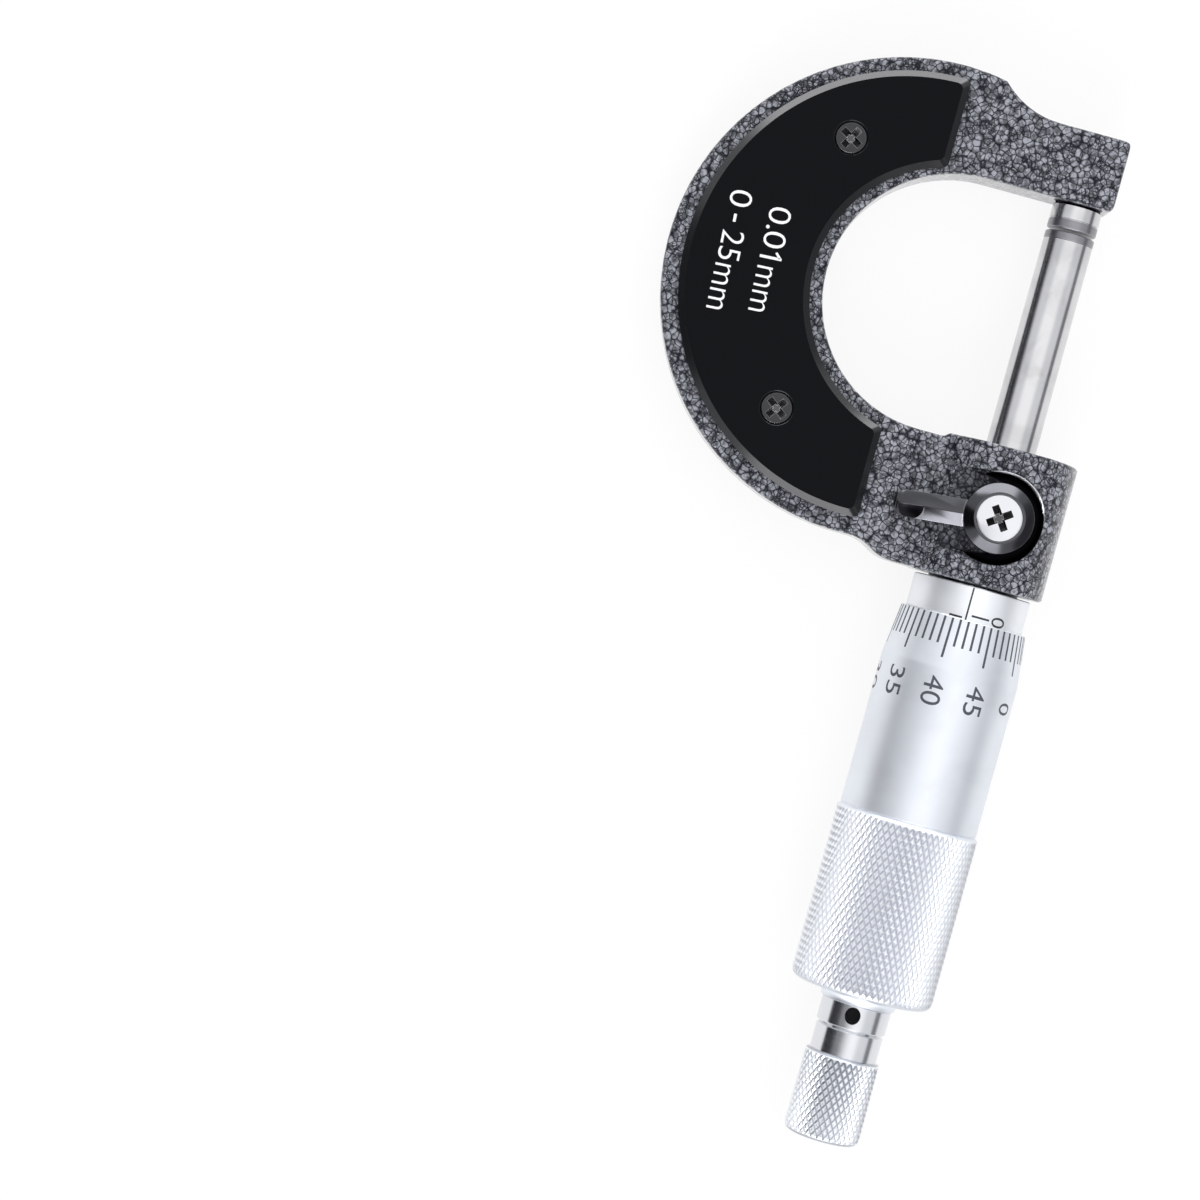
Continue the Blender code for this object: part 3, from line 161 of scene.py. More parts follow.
def splitQuads(corners, near, far, here, there):
    # cuts each quad along the diagonal that follows a groove or a crest
    a, b, c, d = corners
    ra, rb, rc, rd = near[here], near[there], far[there], far[here]
    slant = 10   # a diagonal's slope counts this much more than its height
    costAc = slant * abs(ra - rc) + (ra + rc) / 2
    costBd = slant * abs(rb - rd) + (rb + rd) / 2
    pick = (costAc <= costBd)[:, None]
    first = np.where(pick, np.column_stack((a, b, c)), np.column_stack((a, b, d)))
    second = np.where(pick, np.column_stack((a, c, d)), np.column_stack((b, c, d)))
    return first.tolist() + second.tolist()


def addSkin(bm, loops):
    # joins loops of as many points each into a closed skin
    rings = [[bm.verts.new(point) for point in loop] for loop in loops]
    for near, far in zip(rings, rings[1:]):
        for i in range(len(near)):
            k = (i + 1) % len(near)
            bm.faces.new((near[i], near[k], far[k], far[i]))
    bm.faces.new(rings[0])
    bm.faces.new(rings[-1])


def skinMesh(name, loops):
    bm = bmesh.new()
    addSkin(bm, loops)
    return meshFromBm(name, bm)


def pour(bm, target):
    # adds one mesh being edited to another
    part = bpy.data.meshes.new("part")
    bm.to_mesh(part)
    bm.free()
    target.from_mesh(part)


def faceCentres(mesh):
    # of every face, in mm: its place along the spindle's axis and its distance from that axis
    centres = np.zeros(len(mesh.polygons) * 3)
    mesh.polygons.foreach_get("center", centres)
    centres = centres.reshape(-1, 3) / mm
    return centres[:, 0], np.hypot(centres[:, 1], centres[:, 2])


def addObject(name, data):
    obj = bpy.data.objects.new(name, data)
    bpy.context.collection.objects.link(obj)
    return obj


def evaluated(obj):
    bpy.context.view_layer.update()
    graph = bpy.context.evaluated_depsgraph_get()
    return bpy.data.meshes.new_from_object(obj.evaluated_get(graph), depsgraph=graph)


def combine(mesh, tools, operation="DIFFERENCE", materials=()):
    # a Boolean with each tool mesh in turn; with two materials, what the tools cut gets the second
    for part in [mesh] + tools:
        for material in materials:
            part.materials.append(material)
    for tool in tools:
        tool.polygons.foreach_set("material_index", [1 if materials else 0] * len(tool.polygons))
    body = addObject("combining", mesh)
    helpers = [body]
    for tool in tools:
        helper = addObject("tool", tool)
        helpers.append(helper)
        modifier = body.modifiers.new("cut", "BOOLEAN")
        modifier.operation = operation
        modifier.solver = "EXACT"
        modifier.object = helper
    result = evaluated(body)
    if not materials:
        result.materials.clear()
    for helper in helpers:
        bpy.data.objects.remove(helper)
    return result


def place(name, mesh, body, replaced=()):
    obj = addObject(name, mesh)
    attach(obj, body)
    if replaced:
        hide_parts(*replaced)
    return obj


# Shader helpers and shared effects

def put(tree, kind, inputs=None, **settings):
    node = tree.nodes.new("ShaderNode" + kind)
    for name, value in settings.items():
        setattr(node, name, value)
    for name, value in (inputs or {}).items():
        if isinstance(value, bpy.types.NodeSocket):
            tree.links.new(value, node.inputs[name])
        else:
            node.inputs[name].default_value = value
    return node


def maths(tree, operation, *values, **settings):
    return put(tree, "Math", dict(enumerate(values)), operation=operation, **settings).outputs[0]


def vectors(tree, operation, *values, output="Vector"):
    return put(tree, "VectorMath", dict(enumerate(values)), operation=operation).outputs[output]


def smooth(tree, value, low, high):
    # a soft step from 0 at low to 1 at high
    return put(tree, "MapRange", {"Value": value, "From Min": low, "From Max": high},
               interpolation_type="SMOOTHSTEP").outputs["Result"]


def flip(tree, value):
    return maths(tree, "SUBTRACT", 1.0, value)


def times(tree, *values):
    result = values[0]
    for value in values[1:]:
        result = maths(tree, "MULTIPLY", result, value)
    return result


def either(tree, first, second):
    return maths(tree, "MAXIMUM", first, second)


def between(tree, value, rise, full, fade, end):
    # 1 from full to fade, falling softly to 0 at rise and at end
    return times(tree, smooth(tree, value, rise, full), smooth(tree, value, end, fade))


def varied(tree, mask, low, high):
    return put(tree, "MapRange", {"Value": mask, "To Min": low, "To Max": high}).outputs["Result"]


def mixColour(tree, mask, first, second):
    node = put(tree, "Mix", data_type="RGBA")
    for socket, value in ((node.inputs[0], mask), (node.inputs[6], first), (node.inputs[7], second)):
        if isinstance(value, bpy.types.NodeSocket):
            tree.links.new(value, socket)
        elif isinstance(value, tuple):
            socket.default_value = (*value, 1)
        else:
            socket.default_value = value
    return node.outputs[2]


def scaled(values, factor):
    return tuple(v * factor for v in values)


def newGroup(name, inputs, outputs):
    tree = bpy.data.node_groups.new(name, "ShaderNodeTree")
    for label, value in inputs.items():
        socket = tree.interface.new_socket(name=label, in_out="INPUT", socket_type="NodeSocketFloat")
        socket.default_value = value
    for label in outputs:
        tree.interface.new_socket(name=label, in_out="OUTPUT", socket_type="NodeSocketFloat")
    given = tree.nodes.new("NodeGroupInput").outputs
    result = tree.nodes.new("NodeGroupOutput").inputs
    return tree, given, result


def buildSpeckle():
    # fine even grain, for sandblasted plating and cast surfaces
    tree, given, result = newGroup("speckle", {"Scale": 5000.0, "Contrast": 1.0}, ["Grain"])
    spot = put(tree, "TexCoord")
    noise = put(tree, "TexNoise", {"Vector": spot.outputs["Object"], "Scale": given["Scale"],
                                   "Detail": 3.0, "Roughness": 0.6})
    strong = times(tree, maths(tree, "SUBTRACT", noise.outputs["Fac"], 0.5), given["Contrast"])
    tree.links.new(maths(tree, "ADD", strong, 0.5, use_clamp=True), result["Grain"])
    return tree


def buildToolLines():
    # the fine rings that turning or grinding leaves round the spindle's axis
    tree, given, result = newGroup("toolLines", {"Spacing": 9000.0, "Break": 90.0}, ["Lines"])
    spot = put(tree, "TexCoord")
    split = put(tree, "SeparateXYZ", {0: spot.outputs["Object"]})
    along = times(tree, split.outputs["X"], given["Spacing"])
    sideways = times(tree, split.outputs["Y"], given["Break"])
    upward = times(tree, split.outputs["Z"], given["Break"])
    joined = put(tree, "CombineXYZ", {0: along, 1: sideways, 2: upward})
    noise = put(tree, "TexNoise", {"Vector": joined.outputs[0], "Scale": 1.0, "Detail": 2.0})
    tree.links.new(noise.outputs["Fac"], result["Lines"])
    return tree


def buildEdgeWear():
    # one on convex edges, where handling has rubbed the finish, and zero on the flats; the paint and the
    # shaded steel also use it for painted highlights
    tree, given, result = newGroup("edgeWear", {"Width": 0.00012, "Gain": 4.0}, ["Worn"])
    spot = put(tree, "NewGeometry")
    bevel = put(tree, "Bevel", {"Radius": given["Width"]}, samples=4)
    likeness = vectors(tree, "DOT_PRODUCT", bevel.outputs["Normal"], spot.outputs["Normal"], output="Value")
    strong = maths(tree, "MULTIPLY", flip(tree, likeness), given["Gain"], use_clamp=True)
    tree.links.new(strong, result["Worn"])
    return tree


def buildHandling():
    # broad faint patches left by oil and fingers
    tree, given, result = newGroup("handling", {"Scale": 160.0}, ["Patches"])
    spot = put(tree, "TexCoord")
    noise = put(tree, "TexNoise", {"Vector": spot.outputs["Object"], "Scale": given["Scale"],
                                   "Detail": 4.0, "Distortion": 0.6})
    tree.links.new(smooth(tree, noise.outputs["Fac"], 0.38, 0.66), result["Patches"])
    return tree


speckle = buildSpeckle()
toolLines = buildToolLines()
edgeWear = buildEdgeWear()
handling = buildHandling()


def useGroup(tree, group, **values):
    node = tree.nodes.new("ShaderNodeGroup")
    node.node_tree = group
    for name, value in values.items():
        node.inputs[name].default_value = value
    return node.outputs


def newMaterial(name, look):
    material = bpy.data.materials.new(name)
    material.use_nodes = True
    tree = material.node_tree
    shader = tree.nodes["Principled BSDF"]
    shader.inputs["Base Color"].default_value = (*look["colour"], 1)
    shader.inputs["Metallic"].default_value = look.get("metallic", 1.0)
    shader.inputs["Roughness"].default_value = look["roughness"]
    shader.inputs["Coat Roughness"].default_value = look.get("coatRoughness", 0.1)
    shader.inputs["Coat IOR"].default_value = look.get("coatIor", 1.5)
    return material, tree, shader


def bumped(tree, shader, heights):
    # adds each (height, depth in mm) as one Bump after another
    normal = None
    for height, depth in heights:
        node = put(tree, "Bump", {"Height": height, "Distance": depth * mm, "Strength": 1.0})
        if normal is not None:
            tree.links.new(normal, node.inputs["Normal"])
        normal = node.outputs["Normal"]
    tree.links.new(normal, shader.inputs["Normal"])


def metalFinish(name, look):
    # bright metal: tool rings, grain, patches of handling and lighter rubbed edges
    material, tree, shader = newMaterial(name, look)
    patches = useGroup(tree, handling, Scale=look.get("patchScale", 160.0))["Patches"]
    grain = useGroup(tree, speckle, Scale=look.get("grainScale", 9000.0))["Grain"]
    lines = useGroup(tree, toolLines, Spacing=look.get("spacing", 9000.0))["Lines"]
    worn = useGroup(tree, edgeWear, Width=look.get("wearWidth", 0.00010), Gain=look.get("wear", 5.0))["Worn"]
    tone = mixColour(tree, patches, look["colour"], scaled(look["colour"], look.get("patchTone", 0.95)))
    tone = mixColour(tree, worn, tone, look.get("wornColour", (0.9, 0.9, 0.92)))
    if "grooves" in look:   # dirt and shade at the bottom of a knurl, by distance from the axis
        split = put(tree, "SeparateXYZ", {0: put(tree, "TexCoord").outputs["Object"]}).outputs
        radial = put(tree, "CombineXYZ", {0: split["Y"], 1: split["Z"]}).outputs[0]
        far = vectors(tree, "LENGTH", radial, output="Value")
        bottom, top = look["grooves"]
        tone = mixColour(tree, smooth(tree, far, bottom * mm, top * mm), look["grooveColour"], tone)
    tree.links.new(tone, shader.inputs["Base Color"])
    rough = look["roughness"]
    spread = look.get("roughSpread", 0.05)
    tree.links.new(varied(tree, lines, rough - spread, rough + spread), shader.inputs["Roughness"])
    bumped(tree, shader, [(lines, look.get("lineDepth", 0.0008)), (grain, look.get("grainDepth", 0.0004))])
    return material


# Finishes

def makeHammertone():
    # baked hammer paint: domed light flakes with paler rims, between dark sunk lines
    look = {"colour": (0.152, 0.156, 0.174), "metallic": 0.0, "roughness": 0.36, "coatRoughness": 0.12,
            "line": (0.007, 0.008, 0.013), "lineRoughness": 0.5, "deep": (0.003, 0.003, 0.004),
            "rim": (0.85, 0.86, 0.90), "driftScale": 1300.0, "drift": 0.00050, "depth": 0.06,
            "specular": 0.12, "large": 1220.0, "largeLine": (0.0, 0.12), "largeCorner": (0.92, 0.50),
            "small": 2300.0, "smallLine": (0.0, 0.20), "patchScale": 520.0, "patch": (0.62, 0.50),
            "toneScale": 1500.0, "tone": (0.38, 0.62), "tones": (0.6, 2.0), "heart": (0.30, 0.08),
            "heartShare": 0.4, "heartTone": 0.35, "wearWidth": 0.00034, "wearGain": 2.0, "wearAndHighlightTone": 2.1,
            "pocket": (0.25, 0.55), "sheen": (0.25, 0.75)}
    material, tree, shader = newMaterial("hammertonePaint", look)
    spot = put(tree, "TexCoord").outputs["Object"]

    def noise(scale, detail, output="Fac"):
        return put(tree, "TexNoise", {"Vector": spot, "Scale": scale, "Detail": detail}).outputs[output]

    push = noise(look["driftScale"], 3.0, "Color")
    centred = vectors(tree, "SUBTRACT", push, (0.5, 0.5, 0.5))
    moved = put(tree, "VectorMath", {0: centred, "Scale": look["drift"]}, operation="SCALE").outputs[0]
    bent = vectors(tree, "ADD", spot, moved)

    def cells(scale, feature):
        return put(tree, "TexVoronoi", {"Vector": bent, "Scale": scale}, feature=feature).outputs["Distance"]

    largeHeart = cells(look["large"], "F1")
    large = smooth(tree, cells(look["large"], "DISTANCE_TO_EDGE"), *look["largeLine"])
    large = times(tree, large, smooth(tree, largeHeart, *look["largeCorner"]))
    small = smooth(tree, cells(look["small"], "DISTANCE_TO_EDGE"), *look["smallLine"])
    small = either(tree, small, smooth(tree, noise(look["patchScale"], 2.0), *look["patch"]))
    island = times(tree, large, small)
    shade = smooth(tree, noise(look["toneScale"], 2.0), *look["tone"])
    dark, light = look["tones"]
    flake = mixColour(tree, shade, scaled(look["colour"], dark), scaled(look["colour"], light))
    heart = times(tree, smooth(tree, largeHeart, *look["heart"]), look["heartShare"])
    flake = mixColour(tree, heart, flake, scaled(look["colour"], look["heartTone"]))
    paint = mixColour(tree, island, look["line"], flake)
    # lighter paint on convex edges: partly rubbed wear, partly a painted highlight that brings out the
    # casting's form
    worn = useGroup(tree, edgeWear, Width=look["wearWidth"], Gain=look["wearGain"])["Worn"]
    paint = mixColour(tree, worn, paint, scaled(look["colour"], look["wearAndHighlightTone"]))
    recess, rimHighlight, pocket = lockRecessMasks(tree, spot)
    # painted shade: the recess floor is darkened towards the line colour
    paint = mixColour(tree, times(tree, pocket, varied(tree, island, *look["pocket"])), paint, look["line"])
    # painted shade: the gap round the hub is painted near black
    paint = mixColour(tree, recess, paint, look["deep"])
    # painted highlight: pale paint along the recess's rim on the side toward the lit direction
    paint = mixColour(tree, rimHighlight, paint, look["rim"])
    tree.links.new(paint, shader.inputs["Base Color"])
    shader.inputs["Specular IOR Level"].default_value = look["specular"]
    # the painted shade is metallic, so its near-black colour darkens its gloss as well
    tree.links.new(recess, shader.inputs["Metallic"])
    facing = put(tree, "LayerWeight", {"Blend": 0.5}).outputs["Facing"]
    sheen = times(tree, smooth(tree, facing, *look["sheen"]), flip(tree, recess))
    tree.links.new(sheen, shader.inputs["Coat Weight"])
    rough = varied(tree, island, look["lineRoughness"], look["roughness"])
    tree.links.new(rough, shader.inputs["Roughness"])
    bumped(tree, shader, [(times(tree, island, flip(tree, recess)), look["depth"])])
    return material


def lockRecessMasks(tree, spot):
    # painted shade in the black gap round the lock's hub, tapering beside the walls of its mouth, a painted
    # highlight on the rim above it, and painted shade over the recess as a whole; limits in mm
    look = {"radius": 5.98, "mouth": 5.2, "edge": 0.05, "behind": (-0.3, 0.3), "taper": 0.2,
            "near": (4.0, 4.7), "above": (6.0, 6.18), "pocket": (6.8, 6.5), "rim": (5.74, 5.80, 6.08, 6.14),
            "rimHeight": (6.9, 7.2), "lit": (-0.968, 0.252, 0), "litShare": (0.35, 0.70)}
    low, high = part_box("lock_stud")
    middle = (low + high) / 2
    offset = vectors(tree, "SUBTRACT", spot, tuple(middle))
    flat = vectors(tree, "MULTIPLY", offset, (1, 1, 0))
    far = vectors(tree, "LENGTH", flat, output="Value")
    split = put(tree, "SeparateXYZ", {0: flat}).outputs
    aside = maths(tree, "ABSOLUTE", split["X"])
    tapered = maths(tree, "MULTIPLY_ADD", split["Y"], look["taper"], aside)
    behind = smooth(tree, split["Y"], *scaled(look["behind"], mm))
    toWall = put(tree, "Mix", {0: behind}, data_type="FLOAT")
    tree.links.new(tapered, toWall.inputs[2])
    tree.links.new(far, toWall.inputs[3])
    # near: painted shade, black close to the recess wall and round the hub, thinning along the mouth
    near = smooth(tree, toWall.outputs[0], *scaled(look["near"], mm))
    inCircle = smooth(tree, far, (look["radius"] + look["edge"]) * mm, look["radius"] * mm)
    inMouth = smooth(tree, aside, (look["mouth"] + look["edge"]) * mm, look["mouth"] * mm)
    inside = either(tree, inCircle, times(tree, inMouth, flip(tree, behind)))
    height = put(tree, "SeparateXYZ", {0: spot}).outputs["Z"]
    above = smooth(tree, height, *scaled(look["above"], mm))
    toward = vectors(tree, "DOT_PRODUCT", flat, look["lit"], output="Value")
    share = maths(tree, "DIVIDE", toward, far)
    # ring: a painted highlight on the rim, on its side toward lit and above rimHeight
    ring = times(tree, between(tree, far, *scaled(look["rim"], mm)), smooth(tree, share, *look["litShare"]),
                 smooth(tree, height, *scaled(look["rimHeight"], mm)))
    # pocket: painted shade over the recess floor up to its rim
    pocket = times(tree, inside, smooth(tree, height, *scaled(look["pocket"], mm)), above)
    return times(tree, near, inside, above), ring, pocket


def makeDarkFinish(name, look):
    # black oxide, black nickel or moulded plastic
    material, tree, shader = newMaterial(name, look)
    patches = useGroup(tree, handling, Scale=look.get("patchScale", 220.0))["Patches"]
    grain = useGroup(tree, speckle, Scale=look.get("grainScale", 7000.0))["Grain"]
    worn = useGroup(tree, edgeWear, Width=look.get("wearWidth", 0.00015), Gain=look.get("wear", 3.0))["Worn"]
    tone = mixColour(tree, worn, look["colour"], look["wornColour"])
    tree.links.new(tone, shader.inputs["Base Color"])
    shader.inputs["Specular IOR Level"].default_value = look.get("specular", 0.5)
    if "slopeGloss" in look:   # a polish that shows on bevels and at low angles
        facing = put(tree, "LayerWeight", {"Blend": 0.5}).outputs["Facing"]
        tree.links.new(smooth(tree, facing, *look["slopeGloss"]), shader.inputs["Coat Weight"])
    rough = look["roughness"]
    tree.links.new(varied(tree, patches, rough - 0.04, rough + 0.05), shader.inputs["Roughness"])
    bumped(tree, shader, [(grain, look.get("grainDepth", 0.0008))])
    return material


hammertone = makeHammertone()
satinLook = {"colour": (0.83, 0.86, 0.91), "roughness": 0.46, "roughSpread": 0.04,
             "spacing": 7000.0, "lineDepth": 0.0005, "grainScale": 12000.0, "grainDepth": 0.0006}
satinChrome = metalFinish("satinChrome", satinLook)
sleeveChrome = metalFinish("sleeveChrome", satinLook | {"colour": (0.93, 0.95, 0.98)})
knurlLook = {"colour": (0.91, 0.93, 0.96), "roughness": 0.30, "roughSpread": 0.03,
             "lineDepth": 0.0002, "grainDepth": 0.0004, "wornColour": (0.95, 0.95, 0.97),
             "grooveColour": (0.46, 0.48, 0.52)}
gripChrome = metalFinish("knurledGrip", knurlLook | {
    "colour": (0.92, 0.94, 0.97), "roughness": 0.36, "grooves": (9.22, 9.38),
    "grooveColour": (0.66, 0.68, 0.73)})
knobChrome = metalFinish("knurledKnob", knurlLook | {"grooves": (4.74, 4.92)})
groundSteel = metalFinish("groundSteel", {
    "colour": (0.68, 0.68, 0.69), "roughness": 0.17, "roughSpread": 0.05,
    "spacing": 5200.0, "lineDepth": 0.0012, "patchScale": 210.0, "patchTone": 0.86})
carbide = metalFinish("carbide", {
    "colour": (0.30, 0.30, 0.32), "roughness": 0.30, "lineDepth": 0.0005,
    "wornColour": (0.6, 0.6, 0.62)})
polishedSteel = metalFinish("polishedSteel", {
    "colour": (0.74, 0.75, 0.78), "roughness": 0.13, "roughSpread": 0.03,
    "spacing": 6000.0, "lineDepth": 0.0004, "grainDepth": 0.0001})
collarSteel = metalFinish("collarSteel", {
    "colour": (0.74, 0.75, 0.78), "roughness": 0.19, "roughSpread": 0.04,
    "spacing": 6000.0, "lineDepth": 0.0006, "grainDepth": 0.0001})
shadedSteel = metalFinish("shadedSteel", {   # painted shade inside holes and recesses; its pale edges are painted highlights
    "colour": (0.10, 0.10, 0.105), "roughness": 0.20, "wornColour": (0.75, 0.75, 0.77)})
bareSteel = metalFinish("bareSteel", {
    "colour": (0.45, 0.45, 0.46), "roughness": 0.35, "lineDepth": 0.001})
brass = metalFinish("brass", {
    "colour": (0.70, 0.50, 0.22), "roughness": 0.32, "wornColour": (0.85, 0.66, 0.35)})
blackNickel = makeDarkFinish("blackNickel", {
    "colour": (0.080, 0.081, 0.088), "roughness": 0.18, "wornColour": (0.30, 0.30, 0.32)})
dullBlack = makeDarkFinish("dullBlack", {
    "colour": (0.016, 0.016, 0.018), "roughness": 0.36, "wornColour": (0.12, 0.12, 0.13)})
blackScrew = makeDarkFinish("blackOxide", {
    "colour": (0.055, 0.056, 0.059), "roughness": 0.30, "wornColour": (0.36, 0.36, 0.37)})
blackPlastic = makeDarkFinish("blackPlastic", {
    "colour": (0.0040, 0.0046, 0.0055), "metallic": 0.0, "roughness": 0.38,
    "wornColour": (0.02, 0.021, 0.024), "wear": 1.0, "grainScale": 9000.0, "grainDepth": 0.0006,
    "specular": 0.04, "coatRoughness": 0.20, "coatIor": 1.62, "slopeGloss": (0.08, 0.24)})
darkInk = makeDarkFinish("darkInk", {
    "colour": (0.018, 0.020, 0.027), "metallic": 0.0, "roughness": 0.5, "wornColour": (0.03, 0.03, 0.035)})
greyInk = makeDarkFinish("greyInk", {
    "colour": (0.050, 0.054, 0.068), "metallic": 0.0, "roughness": 0.5, "wornColour": (0.06, 0.06, 0.07)})
whiteInk = makeDarkFinish("whiteInk", {
    "colour": (0.80, 0.81, 0.82), "metallic": 0.0, "roughness": 0.5, "wornColour": (0.7, 0.7, 0.7)})
print("finishes made")


# Frame casting

def makeFrame():
    look = {"voxel": 0.30, "rounds": 3, "strength": 0.5, "bore": 3.42, "boreStart": 41.9, "boreEnd": 54.9}
    rough = addObject("casting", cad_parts["frame"].data.copy())
    remesh = rough.modifiers.new("skin", "REMESH")
    remesh.mode = "VOXEL"
    remesh.voxel_size = look["voxel"] * mm
    soften = rough.modifiers.new("soften", "SMOOTH")
    soften.factor = look["strength"]
    soften.iterations = look["rounds"]
    mesh = evaluated(rough)
    bpy.data.objects.remove(rough)
    mesh.materials.clear()
    low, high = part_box("frame")
    points = np.zeros(len(mesh.vertices) * 3)
    mesh.vertices.foreach_get("co", points)
    points = points.reshape(-1, 3)
    around = np.hypot(points[:, 1], points[:, 2])   # the spindle's bore keeps its running clearance
    inBore = (points[:, 0] > look["boreStart"] * mm) & (points[:, 0] < look["boreEnd"] * mm)
    inBore &= around < look["bore"] * mm
    points[inBore, 1:] *= (look["bore"] * mm / around[inBore])[:, None]
    points = np.clip(points, np.array(low), np.array(high))
    mesh.vertices.foreach_set("co", points.reshape(-1))
    mesh.materials.append(hammertone)
    mesh.shade_smooth()
    place("frame_casting", mesh, "frame_body", ["frame"])


makeFrame()
print("frame made")


# Anvil and spindle

def makeAnvil():
    look = {"radius": 3.25, "shank": 2.5, "edge": 0.3, "out": 3.36, "seat": 0.32, "groove": 0.12,
            "grooveDepth": 0.10, "tipEdge": 0.12}
    start, end = span("anvil")
    tipStart, tipEnd = span("anvil_tip")
    wall = anvilFace - look["out"]
    r, edge, g, c = look["radius"], look["edge"], look["groove"], look["tipEdge"]
    neck = r - look["grooveDepth"]
    profile = [(start, 0), (start, look["shank"]), (wall, look["shank"]), (wall, r - edge), (wall + edge, r)]
    profile += [(end - g, r), (end - g / 2, neck), (end, neck), (end, 0)]
    mesh = turnedMesh("anvil", profile)
    along, away = faceCentres(mesh)
    # the shank and the chamfer beside the frame's wall are dull black as painted shade in the join
    finishMesh(mesh, [groundSteel, dullBlack], along < wall + look["seat"])
    place("anvil_pin", mesh, "frame_body", ["anvil"])
    tip = [(tipStart, 0), (tipStart, neck), (tipStart + g / 2, r), (tipEnd - c, r)]
    tip += [(tipEnd, r - c), (tipEnd, 0)]
    mesh = finishMesh(turnedMesh("anvilTip", tip), [carbide])
    place("anvil_carbide", mesh, "frame_body", ["anvil_tip"])


def makeSpindle():
    look = {"radius": 3.25, "edge": 0.05, "tipEdge": 0.12, "threadRadius": 3.7, "threadRoot": 3.38,
            "pitch": 0.5, "threadStart": 66.78, "threadEnd": 108.78, "taperLength": 5.3, "taperLarge": 3.6,
            "taperSmall": 3.0, "bore": 1.52, "boreEnd": 105.92}
    tipStart, tipEnd = span("spindle_tip")
    start, end = span("spindle")
    r, e, c = look["radius"], look["edge"], look["tipEdge"]
    tip = [(tipStart, 0), (tipStart, r - c), (tipStart + c, r), (tipEnd - e, r), (tipEnd, r - e), (tipEnd, 0)]
    mesh = finishMesh(turnedMesh("spindleTip", tip), [carbide])
    place("spindle_carbide", mesh, "spindle_carrier", ["spindle_tip"])
    profile = [(start, 0), (start, r - e), (start + e, r)]
    turns = round((look["threadEnd"] - look["threadStart"]) / look["pitch"])
    for i in range(turns):   # the thread, drawn as rings of its own pitch
        x = look["threadStart"] + i * look["pitch"]
        profile += [(x, look["threadRoot"]), (x + look["pitch"] / 2, look["threadRadius"])]
    taper = end - look["taperLength"]
    profile += [(look["threadEnd"], r), (taper, r), (taper, look["taperLarge"]), (end, look["taperSmall"])]
    profile += [(end, look["bore"]), (look["boreEnd"], look["bore"]), (look["boreEnd"], 0)]
    mesh = finishMesh(turnedMesh("spindle", profile), [groundSteel])
    place("spindle_rod", mesh, "thimble_body", ["spindle"])


makeAnvil()
makeSpindle()
print("anvil and spindle made")


# Knurling

knurlCrest = 3 / 8   # how far from a groove's middle a diamond reaches its full height, in pitches


def addKnurl(profile, look, grip, end):
    # adds a knurled stretch with its rounded end to a profile, and returns the relief that cuts its diamonds
    r0, r1, er = look["gripStart"], look["gripEnd"], look["endRound"]
    roundStart = end - er
    pitch = 2 * pi * r1 / look["lines"] / tan(radians(look["lean"]))
    first = grip + look["step"] + look["margins"][0]
    count = int((end - look["margins"][1] - first) / (pitch / look["samples"]))
    rows = [first + i * pitch / look["samples"] for i in range(count + 1)]

    def slope(x):
        return r0 + (r1 - r0) * (x - grip) / (roundStart - grip)

    def envelope(x):
        bend = max(0.0, min(1.0, (x - roundStart) / er))
        return slope(x) if x < roundStart else r1 - er + er * (1 - bend**2)**0.5

    def relief(along, radii, angles):
        # columns and rows follow the diamonds between two crossing sets of grooves
        u = angles[None, :] * look["lines"] / (2 * pi)
        v = (along[:, None] - rows[0]) / pitch
        groove = np.minimum(abs(u + v - np.round(u + v)), abs(u - v - np.round(u - v)))
        height = np.minimum(groove / knurlCrest, 1.0)
        skin = np.minimum(slope(along), r1)[:, None] - look["depth"] * (1 - height)
        inside = (along >= rows[0] - 1e-6) & (along <= rows[-1] + 1e-6) & (radii[:, 0] > look["least"])
        return np.where(inside[:, None], np.minimum(radii, skin), radii)

    profile += [(x, envelope(x)) for x in rows]
    profile += [p for p in arc((roundStart, r1 - er), er, pi / 2, 0, 10) if p[0] > rows[-1] + look["rowGap"]]
    return relief


# Graduated sleeve and thimble

sleeveRadius = 7.75
# a bevel's or groove's points are offsets along the axis and from the barrel's radius
thimbleLook = {"bore": 7.83, "edgeRadius": 8.3, "edge": 0.08, "radius": 9.1, "bevel": 6.8,
               "bevelEnd": [(-0.3, -0.035), (0, -0.006), (0.3, 0)], "grip": 27.1, "gripLength": 23.4,
               "gripGroove": [(-0.25, 0), (-0.1, -0.1), (0, -0.1), (0.05, 0.03)], "step": 0.35,
               "gripStart": 9.45, "gripEnd": 9.45, "endRound": 1.2, "neck": 4.9, "neckFillet": 1.15,
               "least": 4.9, "stem": 1.54, "gap": 0.04, "coneLength": 6.5, "coneSmall": 3.02,
               "coneLarge": 3.72, "lines": 68, "lean": 27, "depth": 0.27, "samples": 8,
               "margins": (0.12, 0.25), "rowGap": 0.02}


def makeSleeve():
    look = {"bore": 6.02, "edge": 0.12}
    start, end = span("graduated_sleeve")
    r, e, bore = sleeveRadius, look["edge"], look["bore"]
    profile = [(end, bore), (start, bore), (start, r - e), (start + e, r), (end - e, r), (end, r - e)]
    mesh = finishMesh(turnedMesh("sleeve", profile), [sleeveChrome])
    place("scale_sleeve", mesh, "frame_body", ["graduated_sleeve"])


